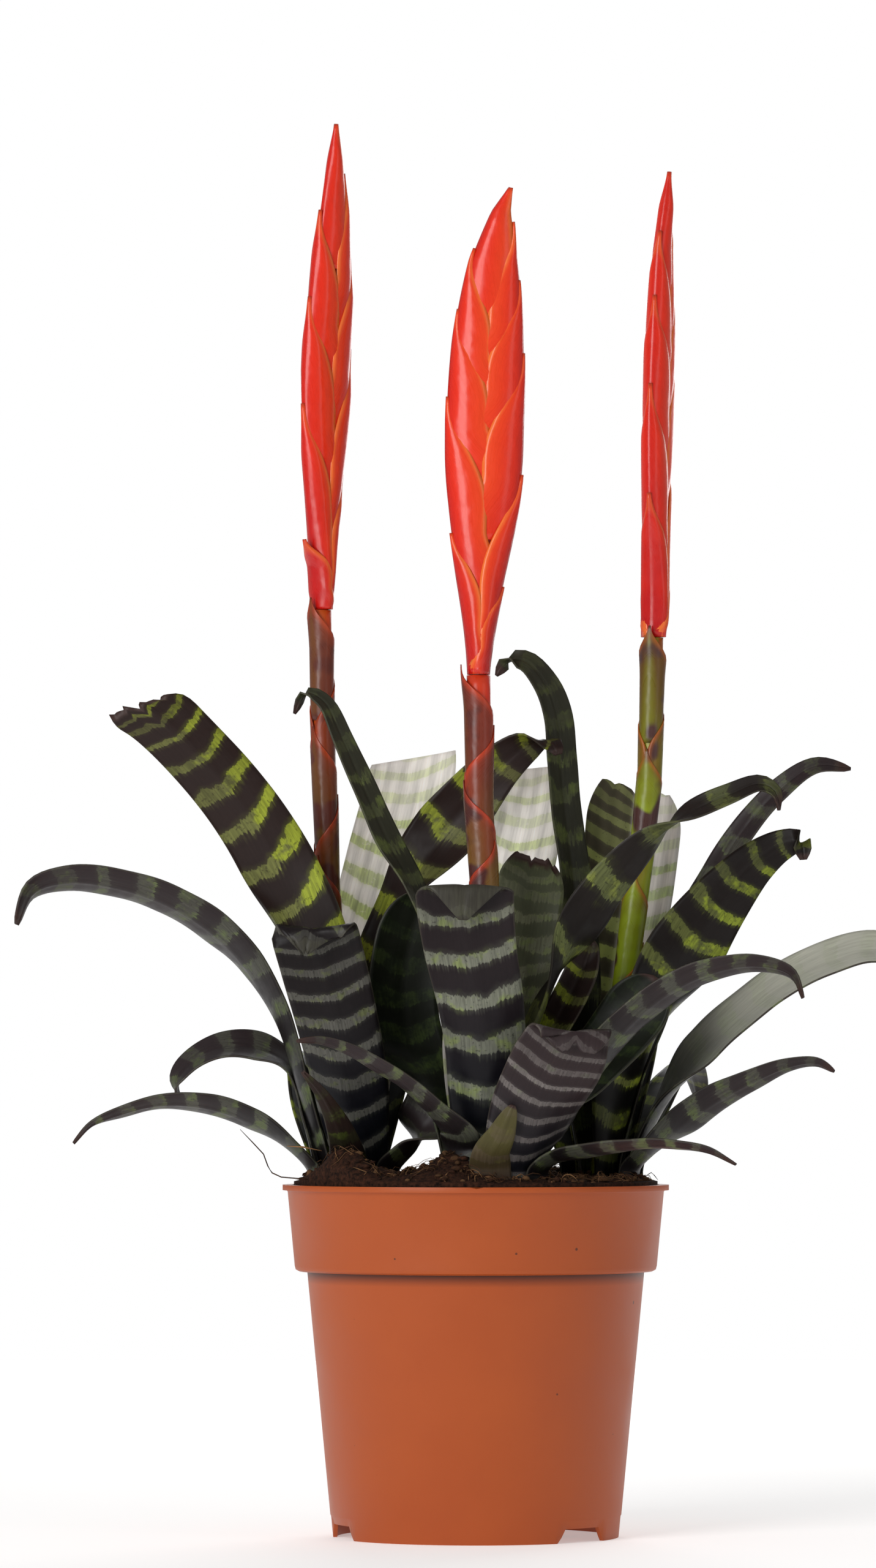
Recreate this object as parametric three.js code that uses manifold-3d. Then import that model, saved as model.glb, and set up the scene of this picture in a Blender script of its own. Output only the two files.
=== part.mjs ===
// Flaming sword bromeliad: three plants, each with a red flower sword, in one round nursery pot.
// Millimetres, +Z up. The origin is on the ground under the middle of the pot; -Y is the front.
import * as THREE from "three";
import { mergeVertices } from "three/addons/utils/BufferGeometryUtils.js";
import Module from "manifold-3d";

const wasm = await Module();
wasm.setup();

// ---------------------------------------------------------------- driving dimensions
const GAP = 0.3; // clearance between touching pieces

const RIM_RADIUS = 65;
const RIM_HEIGHT = 118;
const LIP_THICKNESS = 1.8;
const COLLAR_TOP_RADIUS = 63.3;
const COLLAR_LOW_RADIUS = 60.9;
const COLLAR_DEPTH = 29;
const BODY_TOP_RADIUS = 56.7;
const FOOT_RADIUS = 48.2;
const WALL = 1.6;
const FLOOR_HEIGHT = 6;
const FLOOR_THICKNESS = 1.8;
const NOTCH_HEIGHT = 4.7;
const NOTCH_ANGLES = [-42, 78, 198]; // degrees from +X
const DRAIN_RADIUS = 4.5;
const DRAIN_CIRCLE = 30;
const DRAIN_COUNT = 6;
const POT_SIDES = 44;

const SOIL_TOP = 120; // just above the rim
const HOLE_FLOOR = 104; // where the plants stand
const SOIL_SIDES = 32;
const SOIL_RINGS = 7;

const BLADE = 0.66; // leaf thickness
const CORE_RADIUS = 5.6; // innermost leaf base
const LEAF_PITCH = 1.14; // from one leaf base to the next one out
const BASE_ARC = 10; // half width of a leaf base along its arc
const MOST_WRAP = 1; // radians that a leaf reaches round its plant's axis, each way
const LEAST_TURN = 0.36; // radians that the section of a free blade turns, each way
const FUNNEL_INNER = 19; // distance from the axis where a leaf begins to turn its own way
const FUNNEL_OUTER = 37; // and where it has turned
const RISE = 2.5; // a leaf base stands upright this far above the soil

// Where each plant stands, and how many leaf bases are nested in its funnel.
const PLANTS = {
  left: { centre: [-39.5, 4], leaves: 12 },
  middle: { centre: [3, -30], leaves: 16 },
  right: { centre: [40.5, 5], leaves: 10 },
};

// Where the tip's narrowing begins, the share of the width left at its end, how far the end's edges stand
// above and below its middle, and how far its outline is straight, as a point's is, and not round.
const ROUND_TIP = [0.85, 0.17, 0, 0];

// One row per leaf. The number after the name is its place in the funnel, counted outwards, and az is the
// direction it grows in, in degrees from +X. The spine runs through the points, and across is the direction
// of the blade's width at its middle and at its tip. Leaves with another tip than ROUND_TIP give it, and
// channel is given where the outer part is flatter than a channel: 0 is flat, and below 0 it is arched.
const LEAVES = [
  // left plant
  { plant: "left", name: "pale_back", order: 1, az: 78, width: 31, taper: 1,
    tip: [0.93, 0.9, -5], across: [[-1, 0, 0], [-1, 0, 0]],
    spine: [[-39, 19, 165], [-38, 24, 186], [-34, 28, 207], [-29, 31, 228], [-24, 32, 247],
      [-21, 32, 263]] },
  { plant: "left", name: "inner_right", order: 0, az: 48, width: 26, taper: 0.85,
    tip: [0.72, 0.12, 0, 0.5], across: [[-1, 0.1, 0], [-1, 0, 0]],
    spine: [[-35, 10, 150], [-33, 11, 178], [-27, 11, 205], [-17, 11, 227], [-4, 11, 245],
      [9, 10, 260], [19, 8, 267], [26, 5, 267], [28, 3, 263]] },
  { plant: "left", name: "tall_left", order: 2, az: -148, width: 30, taper: 0.75, channel: 0.6,
    tip: [0.95, 0.7, -7], across: [[1, -0.2, 0.2], [1, 0, 0.3]],
    spine: [[-46, -7, 150], [-49, -11, 172], [-55, -14, 198], [-65, -17, 222], [-78, -20, 244],
      [-94, -23, 263], [-107, -25, 275], [-114, -26, 279]] },
  { plant: "left", name: "back_right", order: 3, az: 62, width: 24, taper: 0.6,
    across: [[-1, 0.4, 0], [-1, 0.4, 0]],
    spine: [[-32, 21, 150], [-29, 40, 180], [-27, 60, 202], [-26, 80, 207], [-26, 92, 199]] },
  { plant: "left", name: "back_left", order: 4, az: 105, width: 26, taper: 0.7,
    across: [[-1, -0.2, 0], [-1, -0.2, 0]],
    spine: [[-43, 23, 146], [-46, 42, 175], [-48, 62, 194], [-49, 80, 198], [-49, 93, 190]] },
  { plant: "left", name: "front_notched", order: 5, az: -78, width: 27, taper: 1.1, channel: -0.4,
    tip: [0.9, 0.08, 0, 1], across: [[1, 0, 0], [1, 0, 0]],
    spine: [[-41, -13, 140], [-44, -23, 160], [-48, -31, 180], [-52, -38.5, 196], [-54, -42, 202.5],
      [-55.5, -45.5, 203], [-56.2, -47, 198.5], [-56.5, -47, 194]] },
  { plant: "left", name: "low_right", order: 7, az: -12, width: 25, taper: 0.8,
    across: [[-1, 0.25, 0], [-1, 0.25, 0]],
    spine: [[-20.5, -1, 130], [-16, -1.5, 139], [-13, -1.5, 147], [-12, -1, 153]] },
  { plant: "left", name: "long_arching", order: 6, az: 178, width: 28, taper: 0.55,
    across: [[0, -0.85, 0.5], [0, -0.85, 0.5]],
    spine: [[-59, 3, 147], [-68, 1, 175], [-82, -4, 197], [-101, -11, 211], [-121, -16, 218],
      [-137, -19, 219.5], [-148, -20, 216], [-153.5, -20, 205]] },
  { plant: "left", name: "back_low", order: 9, az: 130, width: 22, taper: 0.5,
    across: [[-0.7, -0.7, 0], [-0.7, -0.7, 0]],
    spine: [[-53, 20, 134], [-57, 36, 154], [-59, 55, 163], [-59, 74, 158], [-59, 84, 149]] },
  { plant: "left", name: "curled_left", order: 8, az: 160, width: 20, taper: 0.6,
    across: [[-0.1, -0.8, -0.6], [0.1, -0.7, -0.6]],
    spine: [[-57, 11, 140], [-62, 12.5, 156], [-72, 13, 163], [-86, 13, 164], [-96, 13, 159],
      [-101, 13, 152], [-99, 13, 144]] },
  { plant: "left", name: "lowest_left", order: 10, az: -168, width: 18, taper: 0.45,
    tip: [0.6, 0.1, 0], across: [[0, -0.9, 0.45], [0, -0.9, 0.4]],
    spine: [[-65, -2, 132], [-76, -4, 139], [-90, -6, 144], [-106, -8, 145], [-119, -9, 142],
      [-129, -10, 138], [-135, -10, 132]] },
  { plant: "left", name: "short_front", order: 11, az: -102, width: 14, taper: 0.8,
    tip: [0.3, 0.1, 0, 0.8], across: [[1, -0.3, 0.4], [0.8, -0.3, 0.6]],
    spine: [[-43, -19, 128], [-46, -28, 138], [-51, -36, 148], [-57.5, -42, 156]] },
  // middle plant
  { plant: "middle", name: "pale_back", order: 5, az: 95, width: 28, taper: 1,
    tip: [0.93, 0.85, -2.5], across: [[-1, 0, 0], [-1, 0, 0]],
    spine: [[1, -12, 151], [3, -3, 172], [8, 6, 195], [13, 14, 225], [17, 19, 245], [19, 22, 259]] },
  { plant: "middle", name: "back", order: 8, az: 102, width: 22, taper: 0.6,
    across: [[-1, 0, 0], [-1, 0, 0]],
    spine: [[1, -6, 147], [-1, 16, 178], [-3, 38, 198], [-4, 62, 202], [-5, 80, 192]] },
  { plant: "middle", name: "inner_back_right", order: 4, az: 33, width: 15, taper: 0.8,
    across: [[-0.9, 0.4, 0.2], [-0.9, 0.3, 0.3]],
    spine: [[16, -22, 149], [26, -16, 170], [35, -13, 188], [39, -12, 200]] },
  { plant: "middle", name: "hooked_left", order: 0, az: 176, width: 15, taper: 0.55,
    tip: [0.75, 0.1, 0], across: [[-0.8, -0.6, 0], [-0.9, -0.5, -0.4]],
    spine: [[-7, -28, 150], [-9, -25, 175], [-14, -22, 198], [-21, -19, 217], [-30, -15, 234],
      [-38, -12, 252], [-45, -11, 268], [-51, -11, 280], [-57, -11, 283], [-61, -11, 276]] },
  { plant: "middle", name: "crumpled_right", order: 3, az: 64, width: 26, taper: 0.9, channel: 0.5,
    tip: [0.9, 0.6, 1.5], across: [[-1, 0.1, 0], [-1, 0, 0]],
    spine: [[8, -19, 145], [11, -13, 166], [14, -9, 187], [17, -8, 207], [19, -9, 222], [20, -12, 229]] },
  { plant: "middle", name: "long_right", order: 1, az: 4, width: 21, taper: 0.45,
    tip: [0.8, 0.12, 0, 0.3], across: [[0.6, 0.35, -0.7], [0.1, 0.4, 0.9]],
    spine: [[14, -29, 148], [20, -27, 170], [29, -26, 192], [39, -26, 211], [53, -26, 228],
      [68, -26, 240], [84, -26, 248], [95, -26, 252], [100, -27, 249], [101, -28, 243]] },
  { plant: "middle", name: "front_folded", order: 6, az: -92, width: 27, taper: 1.25, channel: -0.4,
    tip: [0.88, 0.08, 0, 1], across: [[1, 0, 0], [1, 0, 0]],
    spine: [[3, -48, 145], [3, -53, 162], [1, -57, 180], [-2, -60, 196],
      [-3.5, -63, 208],
      [-4, -66.5, 216], [-4, -69.5, 217], [-4.2, -70.5, 212.5], [-4.5, -70, 205.5]] },
  { plant: "middle", name: "shaded_left", order: 7, az: 146, width: 26, taper: 0.9,
    across: [[-1, -0.3, 0], [-1, -0.1, 0]],
    spine: [[-13, -19, 145], [-22, -8, 163], [-25, -5, 182], [-22, -5, 202], [-17, -5, 216]] },
  { plant: "middle", name: "wide_right", order: 9, az: 24, width: 29, taper: 0.8,
    across: [[-0.6, 0.8, 0.4], [-0.8, 0.3, 0.6]],
    spine: [[24, -21, 138], [34, -19, 151], [44, -19, 163], [53, -19, 175], [61, -20, 187]] },
  { plant: "middle", name: "arching_right", order: 10, az: -24, width: 20, taper: 0.5,
    tip: [0.7, 0.1, 0], across: [[0.1, 0.8, -0.6], [0, 0.8, -0.6]],
    spine: [[28, -42, 138], [37, -46, 155], [47, -50, 168], [60, -55, 180], [75, -60, 188],
      [91, -64, 191], [103, -66, 188], [107, -67, 180]] },
  { plant: "middle", name: "thin_front_left", order: 11, az: -118, width: 14, taper: 0.45,
    tip: [0.6, 0.1, 0], across: [[0.3, -0.9, 0.3], [0.3, -0.7, 0.6]],
    spine: [[-6, -53, 135], [-15, -58, 144], [-24, -62, 152], [-33, -66, 158], [-42, -69, 163],
      [-51, -72, 166], [-59, -74, 166]] },
  { plant: "middle", name: "front_right_split", order: 12, az: -48, width: 30, taper: 1.07, channel: -0.3,
    tip: [0.72, 0.4, 0, 0.1], across: [[1, 0.1, 0], [1, 0, 0]],
    spine: [[17, -50, 130], [19, -55, 141], [23, -59, 152], [28, -63, 162.5], [31, -66, 168],
      [32.5, -69, 169], [32.5, -70.5, 166], [32, -70.5, 162]] },
  { plant: "middle", name: "short_rim", order: 13, az: -86, width: 15, taper: 0.8,
    tip: [0.25, 0.1, 0], across: [[1, 0, 0], [1, 0, 0]],
    spine: [[5, -54, 129], [8, -57, 135], [10, -59, 140], [12, -60, 145]] },
  { plant: "middle", name: "low_front_right", order: 14, az: -33, width: 13, taper: 0.5,
    tip: [0.5, 0.1, 0], across: [[0.5, 0.8, -0.3], [0.3, 0.8, -0.5]],
    spine: [[25, -45, 126], [36, -54, 129], [49, -64, 131], [62, -73, 132], [75, -82, 130],
      [84, -90, 126]] },
  // right plant
  { plant: "right", name: "pale_back", order: 2, az: 88, width: 34, taper: 1,
    tip: [0.9, 0.7, 2], across: [[-1, 0, 0], [-1, 0, 0]],
    spine: [[43, 21, 160], [47, 27, 190], [51, 30, 215], [54, 32, 240], [55, 32, 254]] },
  { plant: "right", name: "hooked_left", order: 0, az: 150, width: 16, taper: 0.65,
    tip: [0.8, 0.1, 0], across: [[-0.8, -0.6, 0], [-0.95, -0.3, -0.4]],
    spine: [[34, 12, 150], [35, 14, 186], [34, 15, 211], [32, 15, 230], [30, 15.5, 247],
      [29, 15.5, 262], [28, 15, 276], [24, 14, 287], [17, 13, 295], [11, 12, 295], [7, 11, 290]] },
  { plant: "right", name: "tall_back_right", order: 3, az: 28, width: 19, taper: 0.5,
    tip: [0.75, 0.1, 0], across: [[-0.3, 0.7, 0.6], [-0.3, 0.5, 0.8]],
    spine: [[54, 13, 152], [61, 18, 173], [69, 21, 197], [80, 24, 219], [91, 25, 237], [104, 25, 252],
      [116, 25, 260], [128, 25, 259]] },
  { plant: "right", name: "big_right", order: 1, az: -38, width: 33, taper: 0.68,
    tip: [0.62, 0.1, 0, 0.45], across: [[0.8, 0.3, -0.5], [0.8, 0, -0.6]],
    spine: [[51, -4, 150], [57, -7, 168], [65, -8, 185], [74, -9, 201], [84, -9, 215], [94, -9, 226],
      [103, -9, 232], [109, -10, 233], [110, -10.5, 227]] },
  { plant: "right", name: "back_right", order: 5, az: 62, width: 25, taper: 0.7,
    across: [[-1, 0.4, 0], [-1, 0.4, 0]],
    spine: [[49, 24, 148], [54, 42, 176], [57, 60, 194], [58, 79, 197], [58, 92, 188]] },
  { plant: "right", name: "back_left", order: 6, az: 116, width: 24, taper: 0.7,
    across: [[-1, -0.3, 0], [-1, -0.3, 0]],
    spine: [[32, 27, 142], [30, 44, 166], [29, 62, 182], [28, 80, 185], [28, 92, 177]] },
  { plant: "right", name: "channelled_right", order: 7, az: -2, width: 29, taper: 0.6,
    across: [[0, 0.8, 0.55], [0, 0.75, 0.6]],
    spine: [[62, 4, 141], [72, 3, 156], [86, 2, 171], [102, 2, 184], [119, 2, 193], [134, 2, 197],
      [145, 2, 194], [151, 2, 186]] },
  { plant: "right", name: "low_right", order: 8, az: -26, width: 17, taper: 0.5,
    tip: [0.5, 0.1, 0], across: [[0.2, 0.7, -0.65], [0, 0.7, -0.65]],
    spine: [[60, -6, 130], [69, -10, 138], [80, -13, 146], [93, -15, 153], [105, -16, 158],
      [114, -16, 159], [120, -16, 156]] },
  { plant: "right", name: "back_low", order: 9, az: 42, width: 20, taper: 0.5,
    across: [[-0.6, 0.8, 0], [-0.6, 0.8, 0]],
    spine: [[56, 19, 134], [65, 34, 150], [72, 50, 157], [76, 67, 153], [78, 76, 145]] },
];

// The flower spikes. The path is the middle of stalk and sword from the soil up, the sword begins at
// sword_from, turn is the direction of its flat face's width, half is half its greatest width, thick half its
// thickness, and fall how late it narrows towards its tip. Each bract is given by how far up the sword its
// tip stands, the edge it stands on and how far the tip stands out.
const SPIKES = [
  { plant: "left", sword_from: 312, turn: 45, half: 10.4, thick: 3.6, fall: 1.9, stalk: 4.1,
    path: [[-40, 4, 104.5], [-43, 5, 130], [-48, 6, 180], [-50, 6, 220], [-51, 6, 250], [-52, 6, 283],
      [-52, 6, 314], [-51.7, 6, 347], [-51, 6, 373], [-50.7, 6, 393], [-49.6, 6, 412], [-48.4, 6, 439],
      [-47.2, 6, 477]],
    bracts: [[0.142, -1, 3], [0.28, 1, 0], [0.42, -1, 0], [0.54, 1, 0], [0.64, -1, 0], [0.73, 1, 0],
      [0.82, -1, 0], [0.9, 1, 0], [1, -1, 0]] },
  { plant: "middle", sword_from: 288, turn: 4, half: 12.6, thick: 4, fall: 2.6, stalk: 5,
    path: [[3, -30, 104.5], [4, -30, 130], [4, -30, 175], [2.5, -30, 220], [1, -30, 245], [0.8, -30, 288],
      [1.5, -30, 320], [2.5, -30, 345], [3, -30, 374], [4, -30, 400], [5.8, -30, 427], [8.5, -30, 443],
      [11.7, -30, 451]],
    bracts: [[0.18, 1, 0], [0.29, -1, 0], [0.41, 1, 0], [0.57, -1, 0], [0.66, 1, 0], [0.75, -1, 0],
      [0.81, 1, 0], [0.875, -1, 0], [0.93, 1, 0], [1, -1, 0]] },
  { plant: "right", sword_from: 303, turn: 72, half: 10, thick: 3.4, fall: 1.9, stalk: 4.2,
    path: [[40.5, 5, 104.5], [43, 7, 130], [49, 10, 175], [53, 11, 205], [56, 12, 228], [59, 12, 255],
      [60, 12, 290], [61, 12, 318], [61.4, 12, 348], [62, 12, 380], [62.8, 12, 406], [63.6, 12, 435],
      [66, 12, 461.5]],
    bracts: [[0.16, 1, 0], [0.306, -1, 0.4], [0.42, 1, 0], [0.54, -1, 0], [0.65, 1, 0], [0.73, -1, 0],
      [0.8, 1, 0], [0.87, -1, 0], [0.93, 1, 0], [1, -1, 0]] },
];

// ---------------------------------------------------------------- helpers
const radians = (degrees) => (degrees * Math.PI) / 180;
const mix = (a, b, t) => a + (b - a) * t;
const clamp01 = (x) => Math.min(1, Math.max(0, x));
const smooth = (from, to, x) => {
  const t = clamp01((x - from) / (to - from));
  return t * t * (3 - 2 * t);
};

// Seeded random numbers, so that the soil is the same each time.
function randomFrom(seed) {
  let state = seed;
  return () => {
    state = (Math.imul(state, 1664525) + 1013904223) >>> 0;
    return state / 4294967296;
  };
}

function toSolid(geometry) {
  const bare = geometry.index ? geometry.toNonIndexed() : geometry.clone();
  bare.deleteAttribute("normal");
  bare.deleteAttribute("uv");
  const merged = mergeVertices(bare, 1e-4);
  return new wasm.Manifold(
    new wasm.Mesh({
      numProp: 3,
      vertProperties: merged.attributes.position.array,
      triVerts: new Uint32Array(merged.index.array),
    }),
  );
}

function toGeometry(solid) {
  const mesh = solid.getMesh();
  const geometry = new THREE.BufferGeometry();
  geometry.setAttribute("position", new THREE.BufferAttribute(new Float32Array(mesh.vertProperties), 3));
  geometry.setIndex(new THREE.BufferAttribute(new Uint32Array(mesh.triVerts), 1));
  return geometry;
}

const unite = (solids) => solids.reduce((all, one) => all.add(one));

// A closed body lofted through rings of points that all have the same count and run anticlockwise seen
// from the last ring. Both ends are closed by a fan round their middle point.
function loftRings(rings) {
  const count = rings[0].length;
  const positions = [];
  const index = [];
  for (const ring of rings) for (const p of ring) positions.push(p.x, p.y, p.z);
  for (let i = 0; i + 1 < rings.length; i++) {
    for (let j = 0; j < count; j++) {
      const a = i * count + j;
      const b = i * count + ((j + 1) % count);
      index.push(a, b, b + count, a, b + count, a + count);
    }
  }
  for (const [ring, outward] of [[0, -1], [rings.length - 1, 1]]) {
    const middle = rings[ring].reduce((sum, p) => sum.add(p), new THREE.Vector3()).divideScalar(count);
    const tip = positions.length / 3;
    positions.push(middle.x, middle.y, middle.z);
    for (let j = 0; j < count; j++) {
      const a = ring * count + j;
      const b = ring * count + ((j + 1) % count);
      if (outward > 0) index.push(a, b, tip);
      else index.push(b, a, tip);
    }
  }
  const geometry = new THREE.BufferGeometry();
  geometry.setAttribute("position", new THREE.Float32BufferAttribute(positions, 3));
  geometry.setIndex(index);
  return geometry;
}

const part = new THREE.Group();

function addPiece(name, geometry, color, roughness) {
  const mesh = new THREE.Mesh(geometry, new THREE.MeshStandardMaterial({ color, roughness, metalness: 0 }));
  mesh.name = name;
  part.add(mesh);
}

// ---------------------------------------------------------------- pot
function turned(profile, sides) {
  const lathe = new THREE.LatheGeometry(profile.map(([r, z]) => new THREE.Vector2(r, z)), sides);
  return toSolid(lathe.rotateX(Math.PI / 2));
}

const collarLow = RIM_HEIGHT - COLLAR_DEPTH;
const bodySlope = (BODY_TOP_RADIUS - FOOT_RADIUS) / collarLow;
const bodyRadius = (z) => FOOT_RADIUS + bodySlope * z;
const floorTop = FLOOR_HEIGHT + FLOOR_THICKNESS;

function makePot() {
  const wallFoot = bodyRadius(FLOOR_HEIGHT) - WALL;
  let pot = turned([
    [0, FLOOR_HEIGHT],
    [wallFoot, FLOOR_HEIGHT],
    [FOOT_RADIUS - WALL, 0],
    [FOOT_RADIUS, 0],
    [BODY_TOP_RADIUS, collarLow],
    [COLLAR_LOW_RADIUS - 1, collarLow],
    [COLLAR_LOW_RADIUS, collarLow + 1.2],
    [COLLAR_TOP_RADIUS, RIM_HEIGHT - LIP_THICKNESS],
    [RIM_RADIUS, RIM_HEIGHT - LIP_THICKNESS],
    [RIM_RADIUS, RIM_HEIGHT],
    [COLLAR_TOP_RADIUS - WALL, RIM_HEIGHT],
    [COLLAR_LOW_RADIUS - WALL, collarLow + WALL + 1],
    [BODY_TOP_RADIUS - WALL, collarLow - 0.5],
    [bodyRadius(floorTop) - WALL, floorTop],
    [0, floorTop],
  ], POT_SIDES);
  const notchWide = 2 * FOOT_RADIUS * Math.sin(radians(13.5));
  const notchNarrow = 2 * FOOT_RADIUS * Math.sin(radians(10));
  const outline = new THREE.Shape([
    new THREE.Vector2(-notchWide / 2, -1),
    new THREE.Vector2(notchWide / 2, -1),
    new THREE.Vector2(notchNarrow / 2, NOTCH_HEIGHT),
    new THREE.Vector2(-notchNarrow / 2, NOTCH_HEIGHT),
  ]);
  for (const angle of NOTCH_ANGLES) {
    const cutter = new THREE.ExtrudeGeometry(outline, { depth: 14, bevelEnabled: false });
    cutter.rotateX(Math.PI / 2).translate(0, -FOOT_RADIUS + 9, 0).rotateZ(radians(angle + 90));
    pot = pot.subtract(toSolid(cutter));
  }
  for (let i = 0; i < DRAIN_COUNT; i++) {
    const hole = new THREE.CylinderGeometry(DRAIN_RADIUS, DRAIN_RADIUS, 8, 16).rotateX(Math.PI / 2);
    hole.translate(DRAIN_CIRCLE, 0, FLOOR_HEIGHT).rotateZ((i * 2 * Math.PI) / DRAIN_COUNT);
    pot = pot.subtract(toSolid(hole));
  }
  return toGeometry(pot);
}

// ---------------------------------------------------------------- soil
const baseRadius = (order) => CORE_RADIUS + LEAF_PITCH * order;
const holeRadius = (plant) => baseRadius(plant.leaves - 1) + BLADE / 2 + GAP + 0.75;

// The peat stands a little above the rim, highest at the front left and beside the middle plant.
function soilHeight(x, y) {
  const hump = (cx, cy, spread, high) =>
    high * Math.exp(-((x - cx) ** 2 + (y - cy) ** 2) / (2 * spread * spread));
  return SOIL_TOP + hump(-48, -36, 11, 11) + hump(-8, -43, 8, 9) + hump(10, 36, 22, 3);
}

function makeSoil() {
  const random = randomFrom(11);
  const wallRadius = COLLAR_TOP_RADIUS - WALL - GAP - 0.2;
  const rings = [];
  const ringAt = (radius, height) => {
    const ring = [];
    for (let j = 0; j < SOIL_SIDES; j++) {
      const angle = (j * 2 * Math.PI) / SOIL_SIDES;
      const x = radius * Math.cos(angle);
      const y = radius * Math.sin(angle);
      ring.push(new THREE.Vector3(x, y, height(x, y)));
    }
    rings.push(ring);
  };
  const level = (z) => () => z;
  ringAt(bodyRadius(floorTop) - WALL - 1, level(floorTop + GAP));
  ringAt(BODY_TOP_RADIUS - WALL - 0.8, level(collarLow - 1));
  ringAt(COLLAR_LOW_RADIUS - WALL - 0.8, level(collarLow + WALL + 2.5));
  ringAt(wallRadius, level(RIM_HEIGHT - 2));
  const edge = (x, y) => RIM_HEIGHT + 0.5 + 0.6 * (soilHeight(x, y) - SOIL_TOP) + random();
  ringAt(wallRadius - 1.5, edge);
  for (let i = 1; i < SOIL_RINGS; i++) {
    const radius = (wallRadius - 1.5) * (1 - i / SOIL_RINGS);
    ringAt(radius, (x, y) => soilHeight(x, y) + 1.8 * (random() - 0.5));
  }
  let soil = toSolid(loftRings(rings));
  for (const plant of Object.values(PLANTS)) {
    const radius = holeRadius(plant);
    const hole = new THREE.CylinderGeometry(radius, radius, 60, 26).rotateX(Math.PI / 2);
    hole.translate(plant.centre[0], plant.centre[1], HOLE_FLOOR + 30);
    soil = soil.subtract(toSolid(hole));
  }
  return toGeometry(soil);
}

// ---------------------------------------------------------------- leaves
const STATIONS = [0, 0.06, 0.14, 0.25, 0.38, 0.52, 0.66, 0.79, 0.88, 0.94, 1];
const ACROSS_SPANS = 4;
const LEAF_FOOT = HOLE_FLOOR + GAP;

// Middle of the leaf, its width direction, the direction its upper face looks in, half its width and how far
// its section turns each way, at s from 0 at the base to 1 at the tip.
function leafFrames(leaf) {
  const plant = PLANTS[leaf.plant];
  const [cx, cy] = plant.centre;
  const angle = radians(leaf.az);
  const radius = baseRadius(leaf.order);
  const out = new THREE.Vector3(Math.cos(angle), Math.sin(angle), 0);
  const foot = new THREE.Vector3(cx, cy, LEAF_FOOT).addScaledVector(out, radius);
  const rim = new THREE.Vector3(cx, cy, 0).addScaledVector(out, radius);
  rim.z = soilHeight(rim.x, rim.y) + RISE;
  const below = rim.clone().setZ(rim.z - 3);
  const points = [foot, below, rim, ...leaf.spine.map((p) => new THREE.Vector3(...p))];
  const curve = new THREE.CatmullRomCurve3(points, false, "centripetal");
  const middle = new THREE.Vector3(...leaf.across[0]).normalize();
  const end = new THREE.Vector3(...leaf.across[1]).normalize();
  const base = Math.min(BASE_ARC, 0.5 * leaf.width);
  const [tipFrom, tipShare, tipSlant, tipPoint = 0] = leaf.tip ?? ROUND_TIP;
  return STATIONS.map((s) => {
    const centre = curve.getPointAt(s);
    const tangent = curve.getTangentAt(s);
    const radial = new THREE.Vector3(centre.x - cx, centre.y - cy, 0);
    const reach = radial.length();
    const across = new THREE.Vector3(-radial.y, radial.x, 0).divideScalar(reach);
    const free = Math.max(smooth(FUNNEL_INNER, FUNNEL_OUTER, reach), smooth(0.5, 0.8, s));
    across.lerp(middle, free).lerp(end, smooth(0.55, 0.95, s));
    across.addScaledVector(tangent, -across.dot(tangent)).normalize();
    const inward = tangent.clone().cross(across);
    const full = (leaf.width / 2) * mix(1, leaf.taper, smooth(0.3, 0.95, s));
    const rounding = Math.max(0, (s - tipFrom) / (1 - tipFrom));
    const round = Math.sqrt(1 - (1 - tipShare ** 2) * rounding ** 2);
    const tip = mix(round, 1 - (1 - tipShare) * rounding, tipPoint);
    const half = Math.min(mix(base, full, smooth(0.1, 0.4, s)), MOST_WRAP * reach) * tip;
    const bend = Math.min(reach, half / LEAST_TURN);
    const slant = tangent.clone().multiplyScalar(tipSlant * smooth(0.6, 1, s));
    const channel = mix(1, leaf.channel ?? 1, smooth(0.5, 0.8, s));
    return { centre, across, inward, half, turn: half / bend, slant, channel };
  });
}

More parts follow.
